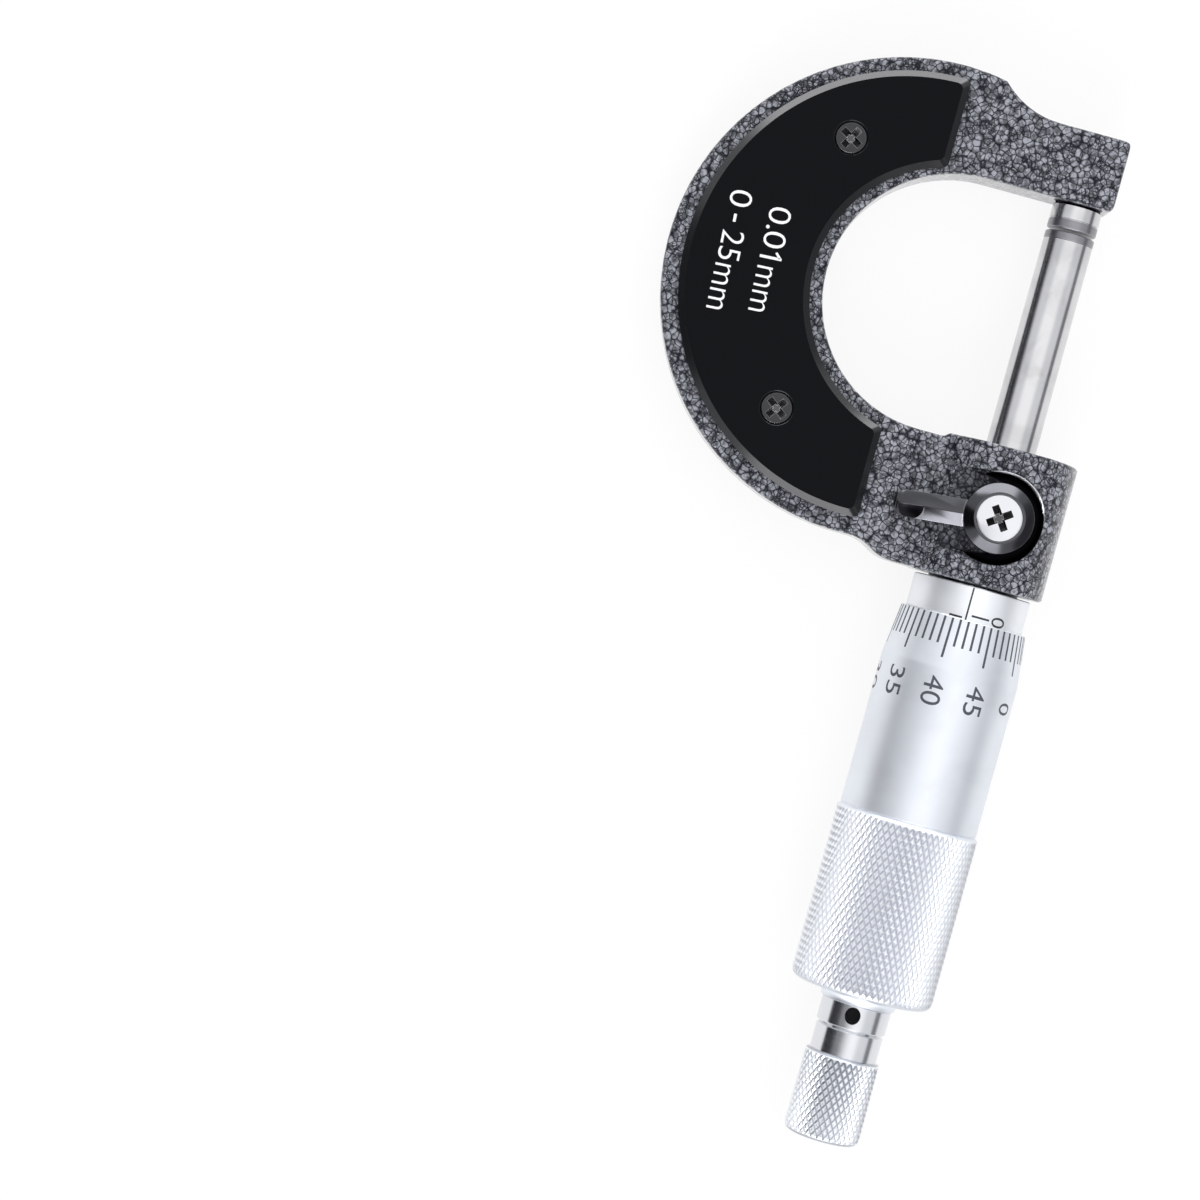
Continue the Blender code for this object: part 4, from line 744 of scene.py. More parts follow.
def makeThimble():
    look = thimbleLook
    start, end = span("thimble")
    grip = start + look["grip"]
    gripEnd = grip + look["gripLength"]
    r, lip, e = look["radius"], look["edgeRadius"], look["edge"]
    coneStart = end - look["coneLength"]
    taperEnd = span("spindle")[1] + look["gap"]
    profile = [(coneStart, look["bore"]), (start, look["bore"]), (start, lip - e), (start + e, lip)]
    profile += [(start + look["bevel"] + x, r + rise) for x, rise in look["bevelEnd"]]
    profile += [(grip + x, r + rise) for x, rise in look["gripGroove"]]
    profile += [(grip + look["step"], look["gripStart"])]
    relief = addKnurl(profile, look, grip, gripEnd)
    profile += arc((end, look["neck"] + look["neckFillet"]), look["neckFillet"], pi, 1.5 * pi, 8)
    profile += [(end, look["stem"]), (taperEnd, look["stem"]), (taperEnd, look["coneSmall"])]
    profile += [(coneStart, look["coneLarge"])]
    mesh = turnedMesh("thimble", profile, look["lines"] * look["samples"], relief=relief)
    along, away = faceCentres(mesh)
    knurled = (away > look["neck"]) & (along > grip + look["step"]) & (along < gripEnd)
    finishMesh(mesh, [satinChrome, gripChrome], knurled)
    place("thimble_barrel", mesh, "thimble_body", ["thimble"])


makeSleeve()
makeThimble()
print("sleeve and thimble made")


# Ratchet stop

def makeRatchetBase():
    look = {"gap": 0.02, "radius": 4.6, "length": 3.3, "edge": 0.15, "stem": 1.5, "spigot": 3.52,
            "spigotLength": 0.8, "post": 1.9, "socket": 1.22, "socketDepth": 5.02, "hole": 1.0,
            "holeDepth": 1.7, "holeFromEdge": 1.4, "holeTilt": 7, "rim": 0.14, "flare": 0.1, "above": 1.0}
    start = span("thimble")[1] + look["gap"]
    end = start + look["length"]
    low, high = span("ratchet_base")
    r, e = look["radius"], look["edge"]
    spigotEnd = end + look["spigotLength"]
    socketEnd = high - look["socketDepth"]
    profile = [(low, 0), (low, look["stem"]), (start, look["stem"]), (start, r - e), (start + e, r)]
    profile += [(end - e, r), (end, r - e), (end, look["spigot"]), (spigotEnd, look["spigot"])]
    profile += [(spigotEnd, look["post"]), (high, look["post"]), (high, look["socket"])]
    profile += [(socketEnd, look["socket"]), (socketEnd, 0)]
    floor, top = r - look["holeDepth"], r + look["above"]
    wide = look["hole"] + look["rim"] + look["flare"]
    hole = [(floor, 0), (floor, look["hole"]), (r - look["rim"], look["hole"]), (r + look["flare"], wide)]
    hole += [(top, wide), (top, 0)]
    hole = turnedMesh("spannerHole", hole, holeSteps, "Z")
    turn = Matrix.Rotation(radians(look["holeTilt"]), 4, "X")
    hole.transform(Matrix.Translation(((start + look["holeFromEdge"]) * mm, 0, 0)) @ turn)
    mesh = turnedMesh("ratchetBase", profile, cutSteps)
    # the spanner hole's inside is dull black as painted shade
    mesh = finishMesh(combine(mesh, [hole], materials=[collarSteel, dullBlack]), [])
    place("ratchet_collar", mesh, "thimble_body", ["ratchet_base"])


def makeRatchetKnob():
    look = {"collar": 4.45, "collarLength": 3.5, "edge": 0.15, "collarEnd": (0.12, 0.1), "step": 0.3,
            "gripStart": 4.95, "gripEnd": 5.05, "endRound": 1.1, "cavity": 3.6, "least": 3.7, "pocket": 3.08,
            "pocketDepth": 3.4, "wall": 3.0, "teeth": 0.55, "bore": 1.94, "lines": 35, "lean": 32,
            "depth": 0.27, "samples": 8, "margins": (0.1, 0.2), "rowGap": 0.02}
    start, end = span("ratchet_knob")
    grip = start + look["collarLength"]
    wallEnd = end - look["pocketDepth"]
    toothRoot = wallEnd - look["wall"] - look["teeth"]
    r, e = look["collar"], look["edge"]
    back, fall = look["collarEnd"]
    profile = [(start, look["cavity"]), (start, r - e), (start + e, r), (grip - back, r), (grip, r - fall)]
    profile += [(grip, look["gripStart"] - look["step"]), (grip + look["step"], look["gripStart"])]
    relief = addKnurl(profile, look, grip, end)
    profile += [(end, look["pocket"]), (wallEnd, look["pocket"]), (wallEnd, look["bore"])]
    profile += [(toothRoot, look["bore"]), (toothRoot, look["cavity"])]
    mesh = turnedMesh("knob", profile, look["lines"] * look["samples"], relief=relief)
    along, away = faceCentres(mesh)
    finishMesh(mesh, [collarSteel, knobChrome], (away > look["least"]) & (along > grip))
    place("knurled_knob", mesh, "ratchet_knob_body", ["ratchet_knob"])


makeRatchetBase()
makeRatchetKnob()
print("ratchet stop made")


# Lever lock

crossShape = [(-1, 0.35, 0.6), (0, 1, 1), (1, 1, 1)]   # level, reach and width of a cut, as shares


def crossTools(top, look, turn):
    # the two tapered cuts of a cross recess, with their full reach at the surface
    tools = []
    for i in (0, 1):
        loops = []
        for level, long, wide in crossShape:
            x, y, z = look["reach"] * long * mm, look["width"] * wide / 2 * mm, look["depth"] * level * mm
            loops.append([(-x, -y, z), (x, -y, z), (x, y, z), (-x, y, z)])
        tool = skinMesh("crossCut", loops)
        spin = Matrix.Rotation(radians(turn) + i * pi / 2, 4, "Z")
        tool.transform(Matrix.Translation(Vector((0, 0, top)) * mm) @ spin)
        tools.append(tool)
    return tools


def domeProfile(start, radius, height, steps):
    sphere = (radius**2 + height**2) / (2 * height)
    edge = asin(radius / sphere)
    centre = start + height - sphere
    turns = [edge * (1 - i / steps) for i in range(steps + 1)]
    return [(centre + sphere * cos(a), sphere * sin(a) if a > 1e-9 else 0) for a in turns]


def lockAxis():
    low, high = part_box("lock_stud")
    return (low.x + high.x) / 2


def leverArm(look, floor):
    # level stations along the ridged arm, the last ones narrowing and falling to its round tip
    side, ridge, half = floor + look["side"], floor + look["ridge"], look["half"]
    stations = [(look["armStart"], 0.0, 1.0), (look["dropStart"], 0.0, 1.0)]
    for i in range(1, look["tipSteps"]):
        turn = pi / 2 * i / look["tipSteps"]
        along = look["length"] - half + half * sin(turn)
        share = (along - look["dropStart"]) / (look["length"] - look["dropStart"])
        stations.append((along, look["drop"] * share, cos(turn)))
    crest = look["crest"]
    loops = []
    for along, fall, width in stations:
        crown = side + (ridge - side) * width * look["crown"]
        section = [(-1, floor), (1, floor), (1, side), (crest, crown), (-crest, crown), (-1, side)]
        loops.append([Vector((x * half * width, -along, z - fall)) * mm for x, z in section])
    return skinMesh("arm", loops)


def scoopTool(look, floor):
    # the part of a ball that hollows one side of the arm, up to its ridge
    x, y, above = look["scoopPlace"]
    spot = Matrix.Translation(Vector((x, y, floor + look["ridge"] + above)) * mm)
    bm = bmesh.new()
    bmesh.ops.create_uvsphere(bm, u_segments=64, v_segments=32, radius=look["scoop"] * mm, matrix=spot)
    geometry = bm.verts[:] + bm.edges[:] + bm.faces[:]
    ridge = (look["scoopSide"] * mm, 0, 0)
    bmesh.ops.bisect_plane(bm, geom=geometry, plane_co=ridge, plane_no=(1, 0, 0), clear_inner=True)
    bmesh.ops.holes_fill(bm, edges=[edge for edge in bm.edges if edge.is_boundary])
    return meshFromBm("scoop", bm)


def makeLever():
    look = {"radius": 4.55, "height": 3.6, "chamferWidth": 1.25, "chamferHeight": 0.9, "bore": 2.02,
            "seat": 3.02, "seatDepth": 0.8, "round": 0.12, "crisp": (0, 4, 5, 6), "length": 13.4,
            "half": 1.75, "side": 0.9, "ridge": 1.8, "crest": 0.08, "crown": 0.95, "armStart": 3.3,
            "drop": 1.2, "dropStart": 9.4, "tipSteps": 14, "turn": 5.6, "scoop": 3.2,
            "scoopPlace": (1.35, -12.1, 1.5), "scoopSide": 0.08, "softEdge": 0.06, "softAngle": 30}
    top = span("lock_lever", "z")[1]
    floor = top - look["height"]
    r, w, h = look["radius"], look["chamferWidth"], look["chamferHeight"]
    seat = top - look["seatDepth"]
    hub = [(floor, look["bore"]), (floor, r), (top - h, r), (top, r - w), (top, look["seat"])]
    hub += [(seat, look["seat"]), (seat, look["bore"])]
    mesh = turnedMesh("hub", roundCorners(hub, look["round"], 4, look["crisp"]), cutSteps, "Z")
    mesh = combine(mesh, [leverArm(look, floor)], "UNION")
    # the scoop is dull black as painted shade on the hollow
    mesh = combine(mesh, [scoopTool(look, floor)], materials=[blackNickel, dullBlack])
    mesh.transform(Matrix.Translation((lockAxis(), 0, 0)) @ Matrix.Rotation(radians(look["turn"]), 4, "Z"))
    lever = place("lever", finishMesh(mesh, []), "lock_body", ["lock_lever"])
    edge = lever.modifiers.new("softEdges", "BEVEL")
    edge.width = look["softEdge"] * mm
    edge.segments = 2
    edge.limit_method = "ANGLE"
    edge.angle_limit = radians(look["softAngle"])


def makeLockScrew():
    look = {"head": 3.0, "dome": 0.2, "shank": 1.25, "shankLength": 2.6, "reach": 1.8, "width": 0.98,
            "depth": 1.3, "turn": 35, "rim": 0.1, "edge": 0.03}
    bottom, top = span("lock_screw", "z")
    rim = top - look["dome"]
    seat = bottom + look["shankLength"]
    r, e, shank = look["head"], look["edge"], look["shank"]
    profile = [(bottom, 0), (bottom, shank), (seat, shank), (seat, r), (rim - look["rim"], r)]
    profile += [(rim - e, r - e)] + domeProfile(rim, r - look["rim"], look["dome"], 10)
    mesh = turnedMesh("lockScrew", profile, smallSteps, "Z")
    mesh = combine(mesh, crossTools(top, look, look["turn"]), materials=[polishedSteel, shadedSteel])
    mesh.transform(Matrix.Translation((lockAxis(), 0, 0)))
    place("hub_screw", finishMesh(mesh, []), "lock_body", ["lock_screw"])


makeLever()
makeLockScrew()
print("lever lock made")


# Grip plate

plateLook = {"throatRadius": 16.73, "throatX": 13.35, "throatY": -12.69, "bowRadius": 31.2, "bowX": 14.46,
             "bowY": -19.15, "rimOutside": 2.3, "rimInside": 1.77, "end": 17.2, "anvilEnd": 18.0,
             "outsideGain": 0.35, "insideGain": -1.15, "outerSteps": 110, "innerSteps": 80,
             "corner": 0.8, "bevel": 0.85, "bevelSlope": 0.8, "head": 2.2, "headDepth": 1.0, "shank": 1.0,
             "spread": 18.0, "offset": 31.0, "gap": 0.06, "sinkDepth": 1.08, "sinkEdge": 0.15,
             "beyond": 1.0}


def plateEdge(centre, radius, start, end, steps, gain):
    # an arc whose radius changes by gain from its lowest point to the anvil's side
    points = []
    for i in range(steps + 1):
        turn = start + (end - start) * i / steps
        r = radius + gain * max(0.0, -cos(turn))**2
        points.append((centre[0] + r * cos(turn), centre[1] + r * sin(turn)))
    return points


def endTurn(height, radius, gain):
    # the angle from level at which such an edge meets the plate's end
    turn = 0.0
    for i in range(6):   # settles well within these rounds
        turn = asin(height / (radius + gain * cos(turn)**2))
    return turn


def plateOutline(inset):
    look = plateLook
    outer = look["bowRadius"] - look["rimOutside"] - inset
    inner = look["throatRadius"] + look["rimInside"] + inset
    endY, anvilEndY = -look["end"] - inset, -look["anvilEnd"] - inset
    bow = (look["bowX"] + anvilFace, look["bowY"])
    throat = (look["throatX"] + anvilFace, look["throatY"])
    outerStart = endTurn(endY - bow[1], outer, 0)
    outerEnd = -pi - endTurn(anvilEndY - bow[1], outer, look["outsideGain"])
    innerStart = pi + endTurn(throat[1] - anvilEndY, inner, look["insideGain"])
    innerEnd = 2 * pi - endTurn(throat[1] - endY, inner, 0)
    outside = plateEdge(bow, outer, outerStart, outerEnd, look["outerSteps"], look["outsideGain"])
    inside = plateEdge(throat, inner, innerStart, innerEnd, look["innerSteps"], look["insideGain"])
    points = outside + inside
    corners = (0, len(outside) - 1, len(outside), len(points) - 1)
    curved = [i for i in range(len(points)) if i not in corners]
    return roundCorners(points, look["corner"], 8, curved)


def plateScrewPlaces():
    x = plateLook["bowX"] + anvilFace
    return {"anvil_side": (x - plateLook["spread"], -plateLook["offset"]),
            "thimble_side": (x + plateLook["spread"], -plateLook["offset"])}


def makePlate():
    look = plateLook
    bottom, top = span("insulating_plate", "z")
    steps = [(0.0, bottom), (0.0, top - look["bevelSlope"] * look["bevel"]), (look["bevel"], top)]
    loops = []
    for inset, level in steps:
        loops.append([(x * mm, y * mm, level * mm) for x, y in plateOutline(inset)])
    mesh = skinMesh("plate", loops)
    head, shank = look["head"] + look["gap"], look["shank"] + look["gap"]
    under, over = bottom - look["beyond"], top + look["beyond"]
    sinks = []
    for x, y in plateScrewPlaces().values():
        cone = [(under, 0), (under, shank), (top - look["sinkDepth"], shank)]
        cone += [(top - look["sinkEdge"], head), (over, head), (over, 0)]
        tool = turnedMesh("countersink", cone, smallSteps, "Z")
        tool.transform(Matrix.Translation((x * mm, y * mm, 0)))
        sinks.append(tool)
    mesh = finishMesh(combine(mesh, sinks), [blackPlastic])
    place("grip_plate", mesh, "frame_body", ["insulating_plate"])


def makePlateScrews():
    look = {"reach": 1.5, "width": 0.84, "depth": 1.0, "edge": 0.20,
            "headEdge": [(-0.2, 0), (-0.08, 0), (-0.02, -0.08), (0, -0.3)],
            "turns": {"anvil_side": 60, "thimble_side": 52}}
    shank = plateLook["shank"]
    rim = plateLook["head"] - look["edge"]
    for side, (x, y) in plateScrewPlaces().items():
        name = "plate_screw_" + side
        bottom, top = span(name, "z")
        profile = [(bottom, 0), (bottom, shank), (top - plateLook["headDepth"], shank)]
        profile += [(top + level, rim + rise) for level, rise in look["headEdge"]] + [(top, 0)]
        mesh = turnedMesh("plateScrew", profile, smallSteps, "Z")
        cuts = crossTools(top, look, look["turns"][side])
        mesh = combine(mesh, cuts, materials=[blackScrew, shadedSteel])
        mesh.transform(Matrix.Translation((x * mm, y * mm, 0)))
        place(name + "_head", finishMesh(mesh, []), "frame_body", [name])


makePlate()
makePlateScrews()
print("grip plate made")


# Scales and numbers

def onSurface(radiusAt, x, turn, above):
    radius = radiusAt(x) + above
    return Vector((x, -radius * sin(turn), radius * cos(turn))) * mm


def addBar(bm, radiusAt, x0, x1, turn0, turn1):
    # one filled line, flush with the surface and bent with it
    look = {"proud": 0.006, "sunk": 0.03, "step": 2}
    steps = max(1, ceil(abs(turn1 - turn0) / radians(look["step"])))
    turns = [turn0 + (turn1 - turn0) * i / steps for i in range(steps + 1)]
    corners = ((x0, -look["sunk"]), (x1, -look["sunk"]), (x1, look["proud"]), (x0, look["proud"]))
    addSkin(bm, [[onSurface(radiusAt, x, turn, above) for x, above in corners] for turn in turns])


def textMesh(words, width, height, thickness, thin):
    # words as a flat solid, centred, scaled to a measured width and height in mm
    curve = bpy.data.curves.new("words", "FONT")
    curve.body = words
    curve.size = 1.0
    curve.extrude = 0.5
    curve.offset = -thin
    curve.resolution_u = 4
    obj = addObject("words", curve)
    mesh = evaluated(obj)
    bpy.data.objects.remove(obj)
    bm = bmesh.new()
    bm.from_mesh(mesh)
    bmesh.ops.remove_doubles(bm, verts=bm.verts, dist=1e-5)
    addFlags(bm)
    points = np.array([v.co for v in bm.verts])
    low, high = points.min(axis=0), points.max(axis=0)
    middle, size = (low + high) / 2, high - low
    for vert in bm.verts:
        x, y, z = (np.array(vert.co) - middle) / size
        vert.co = (x * width, y * height, z * thickness)
    return bm


def addFlags(bm):
    # the font's 1 is a bare stem, so each tall narrow island gets a slanting flag
    look = {"flag": [(-0.02, -0.02), (-0.17, -0.17), (-0.13, -0.22), (0.03, -0.08)], "inset": 0.02,
            "tall": 0.5, "narrow": 0.15}
    seen = set()
    stems = []
    for start in bm.verts:
        if start in seen:
            continue
        island = {start}
        ahead = [start]
        while ahead:
            for edge in ahead.pop().link_edges:
                for vert in edge.verts:
                    if vert not in island:
                        island.add(vert)
                        ahead.append(vert)
        seen |= island
        xs, ys = [v.co.x for v in island], [v.co.y for v in island]
        if max(ys) - min(ys) > look["tall"] and max(xs) - min(xs) < look["narrow"]:
            stems.append((min(xs) + look["inset"], max(ys)))
    for x, y in stems:
        addSkin(bm, [[(x + a, y + b, level) for a, b in look["flag"]] for level in (-0.5, 0.5)])


def sliceWords(bm, step, low, high):
    # cuts across the words, so that they can follow a curved surface
    for i in range(1, ceil((high - low) / step)):
        geometry = bm.verts[:] + bm.edges[:] + bm.faces[:]
        bmesh.ops.bisect_plane(bm, geom=geometry, plane_co=(0, low + i * step, 0), plane_no=(0, 1, 0))


def addNumber(target, words, radiusAt, x, turn, width, height, thin):
    look = {"thickness": 0.036, "sunk": 0.012, "step": 0.3}
    bm = textMesh(words, width, height, look["thickness"], thin)
    sliceWords(bm, look["step"], -height / 2, height / 2)
    for vert in bm.verts:
        tx, ty, tz = vert.co
        along = x + tx
        vert.co = onSurface(radiusAt, along, turn - ty / radiusAt(along), tz - look["sunk"])
    bmesh.ops.recalc_face_normals(bm, faces=bm.faces)
    pour(bm, target)


def makeSleeveScale():
    look = {"indexWidth": 0.22, "indexStart": 0.15, "indexEnd": 26, "zero": 51.6, "range": 25,
            "tickWidth": 0.26, "tickGap": 0.65, "long": 2.4, "short": 1.7, "halfGap": 0.5, "half": 1.7,
            "numberGap": 4.4, "numberWidth": 1.35, "twoDigits": 2.35, "numberHeight": 2.0, "thin": 0.004}
    r = sleeveRadius
    index = radians(indexTurn)
    start = span("graduated_sleeve")[0] + look["indexStart"]
    zero = look["zero"] + anvilFace
    width, half = look["tickWidth"] / 2, look["indexWidth"] / 2 / r

    def radiusAt(x):
        return r

    bm = bmesh.new()
    addBar(bm, radiusAt, start, zero + look["indexEnd"], index - half, index + half)
    for i in range(2 * look["range"] + 1):
        x = zero + i / 2
        near, far = look["tickGap"], look["tickGap"] + (look["short"] if i % 10 else look["long"])
        if i % 2:   # the half millimetres lie on the line's other side
            near, far = -look["halfGap"] - look["half"], -look["halfGap"]
        addBar(bm, radiusAt, x - width, x + width, index - far / r, index - near / r)
    for value in range(0, look["range"] + 1, 5):
        wide = look["numberWidth"] * (1 if value < 10 else look["twoDigits"])
        turn = index - look["numberGap"] / r
        addNumber(bm, str(value), radiusAt, zero + value, turn, wide, look["numberHeight"], look["thin"])
    mesh = finishMesh(meshFromBm("sleeveScale", bm, fineWeld), [darkInk])
    place("sleeve_scale", mesh, "frame_body")


def makeThimbleScale():
    look = {"divisions": 50, "reading": 41.5, "tickStart": 52.42, "tickEnd": 56.0, "longEnd": 57.7,
            "width": 0.3, "tickRadius": 8.5, "numberX": 62.1, "numberWidth": 3.8, "oneWidth": 1.6,
            "numberHeight": 2.65, "thin": 0.001}
    start = look["tickStart"] + anvilFace
    x = look["numberX"] + anvilFace
    step = 2 * pi / look["divisions"]
    half = look["width"] / 2 / look["tickRadius"]
    low = span("thimble")[0]
    small, large = thimbleLook["edgeRadius"], thimbleLook["radius"]

    def radiusAt(x):
        return min(large, small + (large - small) * (x - low) / thimbleLook["bevel"])

    bm = bmesh.new()
    for n in range(look["divisions"]):
        turn = radians(indexTurn) + (look["reading"] - n) * step
        end = (look["tickEnd"] if n % 5 else look["longEnd"]) + anvilFace
        addBar(bm, radiusAt, start, end, turn - half, turn + half)
        if n % 5 == 0:
            wide = look["oneWidth"] if n < 10 else look["numberWidth"]
            addNumber(bm, str(n), radiusAt, x, turn, wide, look["numberHeight"], look["thin"])
    mesh = finishMesh(meshFromBm("thimbleScale", bm, fineWeld), [greyInk])
    place("thimble_scale", mesh, "thimble_body")


def makePlateWords():
    # each piece of a row: its text, start along the row, width, height and height of its middle
    look = {"turn": 3.3, "thin": 0.010, "deep": 0.03, "proud": 0.005,
            "rows": [((7.6, -38.7), [("0", 0, 2.1, 2.9, 1.45), (".", 2.5, 0.48, 0.48, 0.24),
                                     ("0", 3.2, 2.1, 2.9, 1.45), ("1", 5.7, 1.05, 2.85, 1.43),
                                     ("mm", 7.8, 5.85, 2.05, 1.02)]),
                     ((6.8, -44.1), [("0", 0, 2.1, 2.9, 1.45), ("-", 3.1, 1.05, 0.36, 1.2),
                                     ("25", 5.3, 3.8, 2.9, 1.45), ("mm", 9.7, 5.9, 2.05, 1.02)])]}
    top = span("insulating_plate", "z")[1]
    turn = Matrix.Rotation(radians(look["turn"]), 3, "Z")
    bm = bmesh.new()
    for (x, y), pieces in look["rows"]:
        spot = Vector((x + anvilFace, y, top + look["proud"] - look["deep"] / 2))
        for words, start, width, height, middle in pieces:
            letters = textMesh(words, width, height, look["deep"], look["thin"])
            for vert in letters.verts:
                vert.co = (turn @ (vert.co + Vector((start + width / 2, middle, 0))) + spot) * mm
            pour(letters, bm)
    mesh = finishMesh(meshFromBm("plateWords", bm, fineWeld), [whiteInk])
    place("plate_words", mesh, "frame_body")


makeSleeveScale()
makeThimbleScale()
makePlateWords()
print("scales made")


# Pieces kept as packed

def dressInside():
    # inner_sleeve is dull black as painted shade, for the dark gap between the frame's barrel and the sleeve
    finishes = {"inner_sleeve": dullBlack, "adjusting_nut": blackScrew, "lock_stud": bareSteel,
                "lock_shoe": brass, "ratchet_pawl": bareSteel, "ratchet_screw": polishedSteel}
    for node, material in finishes.items():
        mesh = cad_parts[node].data
        mesh.materials.clear()
        mesh.materials.append(material)
        mesh.shade_smooth()
        mesh.set_sharp_from_angle(angle=radians(sharpAngle))


def makeSpring():
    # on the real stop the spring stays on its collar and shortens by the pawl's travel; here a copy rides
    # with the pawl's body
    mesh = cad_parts["ratchet_spring"].data.copy()
    mesh.materials.clear()
    finishMesh(mesh, [groundSteel])
    spring = place("pawl_spring", mesh, "pawl_body", ["ratchet_spring"])
    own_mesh(spring)


dressInside()
makeSpring()
print("inner pieces dressed")


# Floor, light and camera

def restPlane():
    # the hull's face under the centre of gravity is the one that the part lies on
    look = {"weight": (56.4, -11.9), "level": 0.2}
    bm = bmesh.new()
    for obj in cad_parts.values():
        for vert in obj.data.vertices:
            bm.verts.new(vert.co)
    hull = bmesh.ops.convex_hull(bm, input=bm.verts)
    x, y = look["weight"][0] * mm, look["weight"][1] * mm
    best = None
    for face in hull["geom"]:
        if not isinstance(face, bmesh.types.BMFace) or abs(face.normal.z) < look["level"]:
            continue
        normal = face.normal
        corners = [v.co for v in face.verts]
        signs = []
        for a, b in zip(corners, corners[1:] + corners[:1]):
            signs.append((b.x - a.x) * (y - a.y) - (b.y - a.y) * (x - a.x))
        if min(signs) < 0 < max(signs):
            continue
        z = corners[0].z - (normal.x * (x - corners[0].x) + normal.y * (y - corners[0].y)) / normal.z
        if best is None or z < best[0]:
            best = (z, normal * (1 if normal.z > 0 else -1))
    bm.free()
    return Vector((x, y, best[0])), best[1]


def makeFloor():
    look = {"size": 1.6, "colour": (0.84, 0.84, 0.85), "shown": 0.88, "gap": 0.02}
    spot, normal = restPlane()
    bm = bmesh.new()
    bmesh.ops.create_grid(bm, x_segments=1, y_segments=1, size=look["size"])
    mesh = bpy.data.meshes.new("floor")
    bm.to_mesh(mesh)
    bm.free()
    floor = addObject("floor", mesh)
    floor.rotation_mode = "QUATERNION"
    floor.rotation_quaternion = Vector((0, 0, 1)).rotation_difference(normal)
    floor.location = spot - normal * look["gap"] * mm
    material = bpy.data.materials.new("floorPaint")
    material.use_nodes = True
    tree = material.node_tree
    tree.nodes.clear()
    paint = put(tree, "BsdfDiffuse", {"Color": (*look["colour"], 1)})
    glow = put(tree, "Emission", {"Color": (1, 1, 1, 1), "Strength": 1.0})
    rays = put(tree, "LightPath").outputs
    seen = either(tree, rays["Is Camera Ray"], rays["Is Glossy Ray"])
    seen = either(tree, seen, rays["Is Transmission Ray"])
    share = times(tree, seen, look["shown"])
    mixed = put(tree, "MixShader", {0: share, 1: paint.outputs[0], 2: glow.outputs[0]})
    clear = put(tree, "BsdfTransparent")
    side = put(tree, "NewGeometry")
    both = put(tree, "MixShader", {0: side.outputs["Backfacing"], 1: mixed.outputs[0], 2: clear.outputs[0]})
    end = put(tree, "OutputMaterial")
    tree.links.new(both.outputs[0], end.inputs["Surface"])
    mesh.materials.append(material)


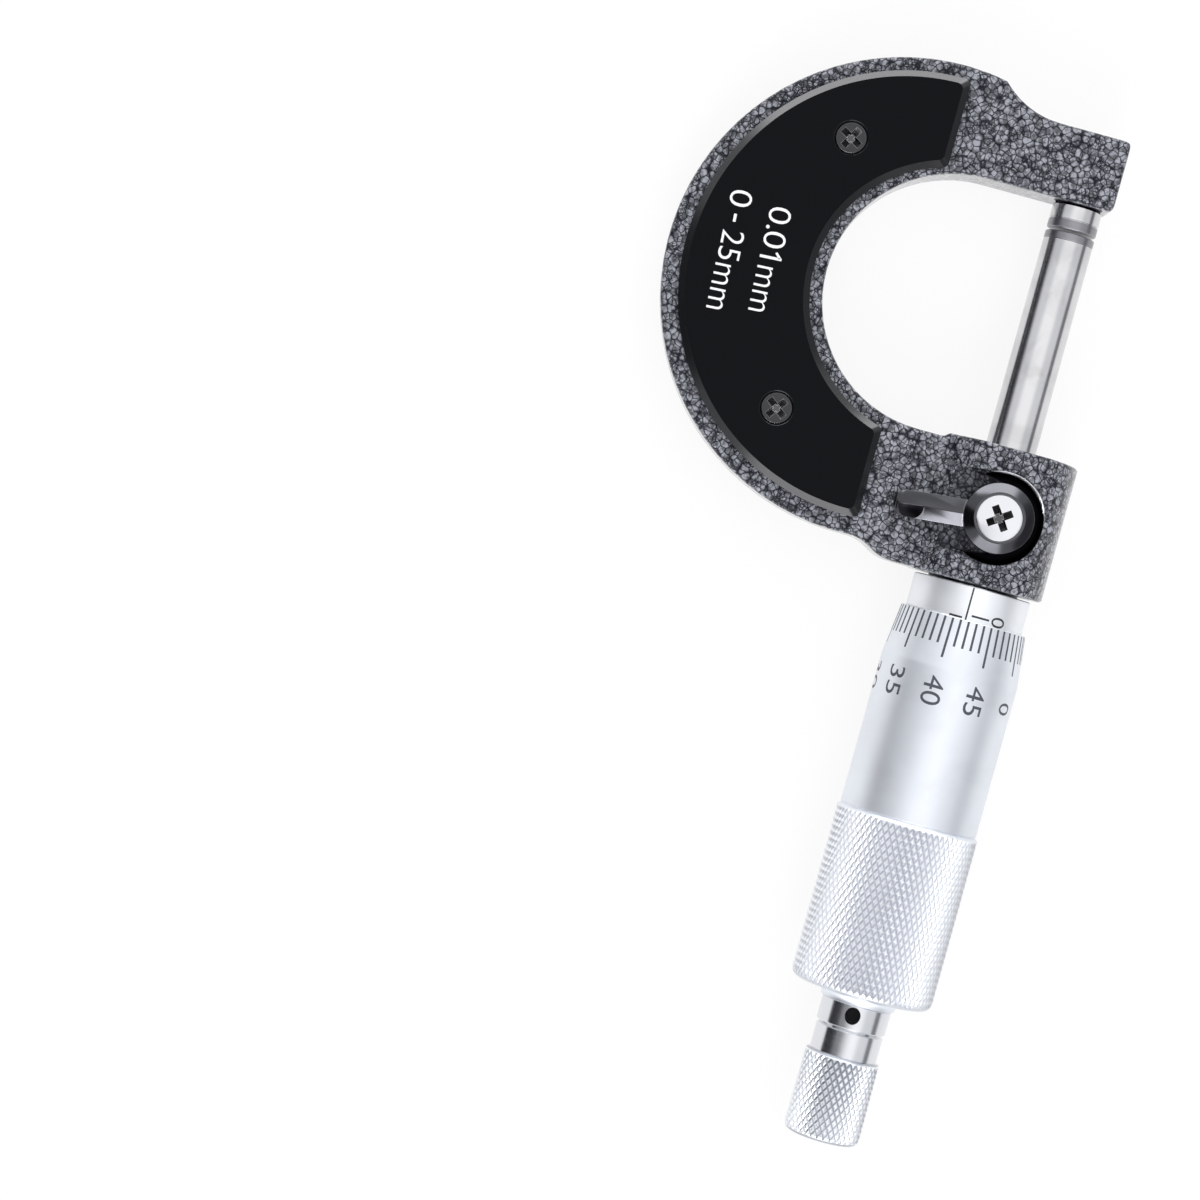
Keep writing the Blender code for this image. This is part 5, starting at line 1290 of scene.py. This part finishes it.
def makeWorld():
    # a pale studio; its dark side and its bright panels give polished metal its bands
    look = {"base": (0.85, 0.86, 0.88), "dark": (0.03, 0.03, 0.035), "low": (0.22, 0.22, 0.24),
            "top": (1.22, 1.22, 1.23), "panel": (4.0, 4.0, 4.1), "hot": (7.5, 7.5, 7.7),
            "strip": (5.2, 5.2, 5.3), "lean": 1.9}
    world = bpy.data.worlds.new("studio")
    bpy.context.scene.world = world
    world.use_nodes = True
    tree = world.node_tree
    tree.nodes.clear()
    way = put(tree, "SeparateXYZ", {0: put(tree, "TexCoord").outputs["Generated"]}).outputs
    across = maths(tree, "ARCTAN2", way["Y"], way["Z"])
    along = maths(tree, "ARCTAN2", way["X"], way["Z"])

    def turned(value, *limits):
        # limits in degrees from the zenith
        kind = smooth if len(limits) == 2 else between
        return kind(tree, value, *[radians(v) for v in limits])

    def wide(axis, *limits):
        # limits as shares of the direction
        return between(tree, way[axis], *limits)

    leaning = maths(tree, "MULTIPLY_ADD", way["X"], -look["lean"], across)
    card = times(tree, turned(across, -97, -93), turned(leaning, -48, -58), wide("X", -0.6, -0.45, 0.45, 0.6))
    masks = [
        ("top", times(tree, turned(across, -36, -14, 20, 42), wide("X", -0.7, -0.5, 0.5, 0.7))),
        ("dark", times(tree, turned(across, -97, -93, -34, 12), wide("X", 0.07, 0.11, 0.45, 0.6))),
        ("dark", card),
        ("low", times(tree, turned(across, 66, 72, 86, 90), wide("X", -0.75, -0.6, 0.6, 0.75))),
        ("panel", times(tree, turned(along, 49, 53, 80, 84), wide("Y", -0.5, -0.4, 0.3, 0.4))),
        ("hot", times(tree, turned(along, 38, 43, 56, 60), wide("Y", -0.12, -0.06, 0.20, 0.26))),
        ("strip", times(tree, turned(along, -96, -93, -66, -60), wide("Y", -0.8, -0.7, 0.3, 0.5)))]
    colour = look["base"]
    for tone, mask in masks:
        colour = mixColour(tree, mask, colour, look[tone])
    back = put(tree, "Background", {"Color": colour, "Strength": 1.0})
    white = put(tree, "Background", {"Color": (1, 1, 1, 1), "Strength": 1.0})
    rays = put(tree, "LightPath").outputs
    mixed = put(tree, "MixShader", {0: rays["Is Camera Ray"], 1: back.outputs[0], 2: white.outputs[0]})
    end = put(tree, "OutputWorld")
    tree.links.new(mixed.outputs[0], end.inputs["Surface"])


def makeLights():
    look = {"place": (0.10, 0.22, 0.60), "aim": (0.065, -0.02, 0), "size": (0.7, 0.34), "watts": 0.66}
    lamp = bpy.data.lights.new("softbox", "AREA")
    lamp.shape = "RECTANGLE"
    lamp.size, lamp.size_y = look["size"]
    lamp.energy = look["watts"]
    obj = addObject("softbox", lamp)
    obj.location = look["place"]
    away = Vector(look["aim"]) - Vector(look["place"])
    obj.rotation_euler = away.to_track_quat("-Z", "Y").to_euler()
    obj.visible_glossy = False   # metal mirrors the studio's own panels instead


def makeCamera():
    look = {"place": (69.12, -43.67, 431.1), "aim": (75.19, -46.37, 0.0), "up": (-0.964, -0.266, 0.0),
            "lens": 99.08, "sensor": 36, "near": 0.01}
    camera = bpy.data.cameras.new("camera")
    camera.lens = look["lens"]
    camera.sensor_width = look["sensor"]
    camera.clip_start = look["near"]
    obj = addObject("camera", camera)
    spot = Vector(look["place"]) * mm
    back = (spot - Vector(look["aim"]) * mm).normalized()
    up = Vector(look["up"])
    right = up.cross(back).normalized()
    up = back.cross(right)
    turn = Matrix((right, up, back)).transposed().to_4x4()
    obj.matrix_world = Matrix.Translation(spot) @ turn
    bpy.context.scene.camera = obj


makeFloor()
makeWorld()
makeLights()
makeCamera()
bpy.context.scene.view_settings.view_transform = "Standard"
print("studio made")
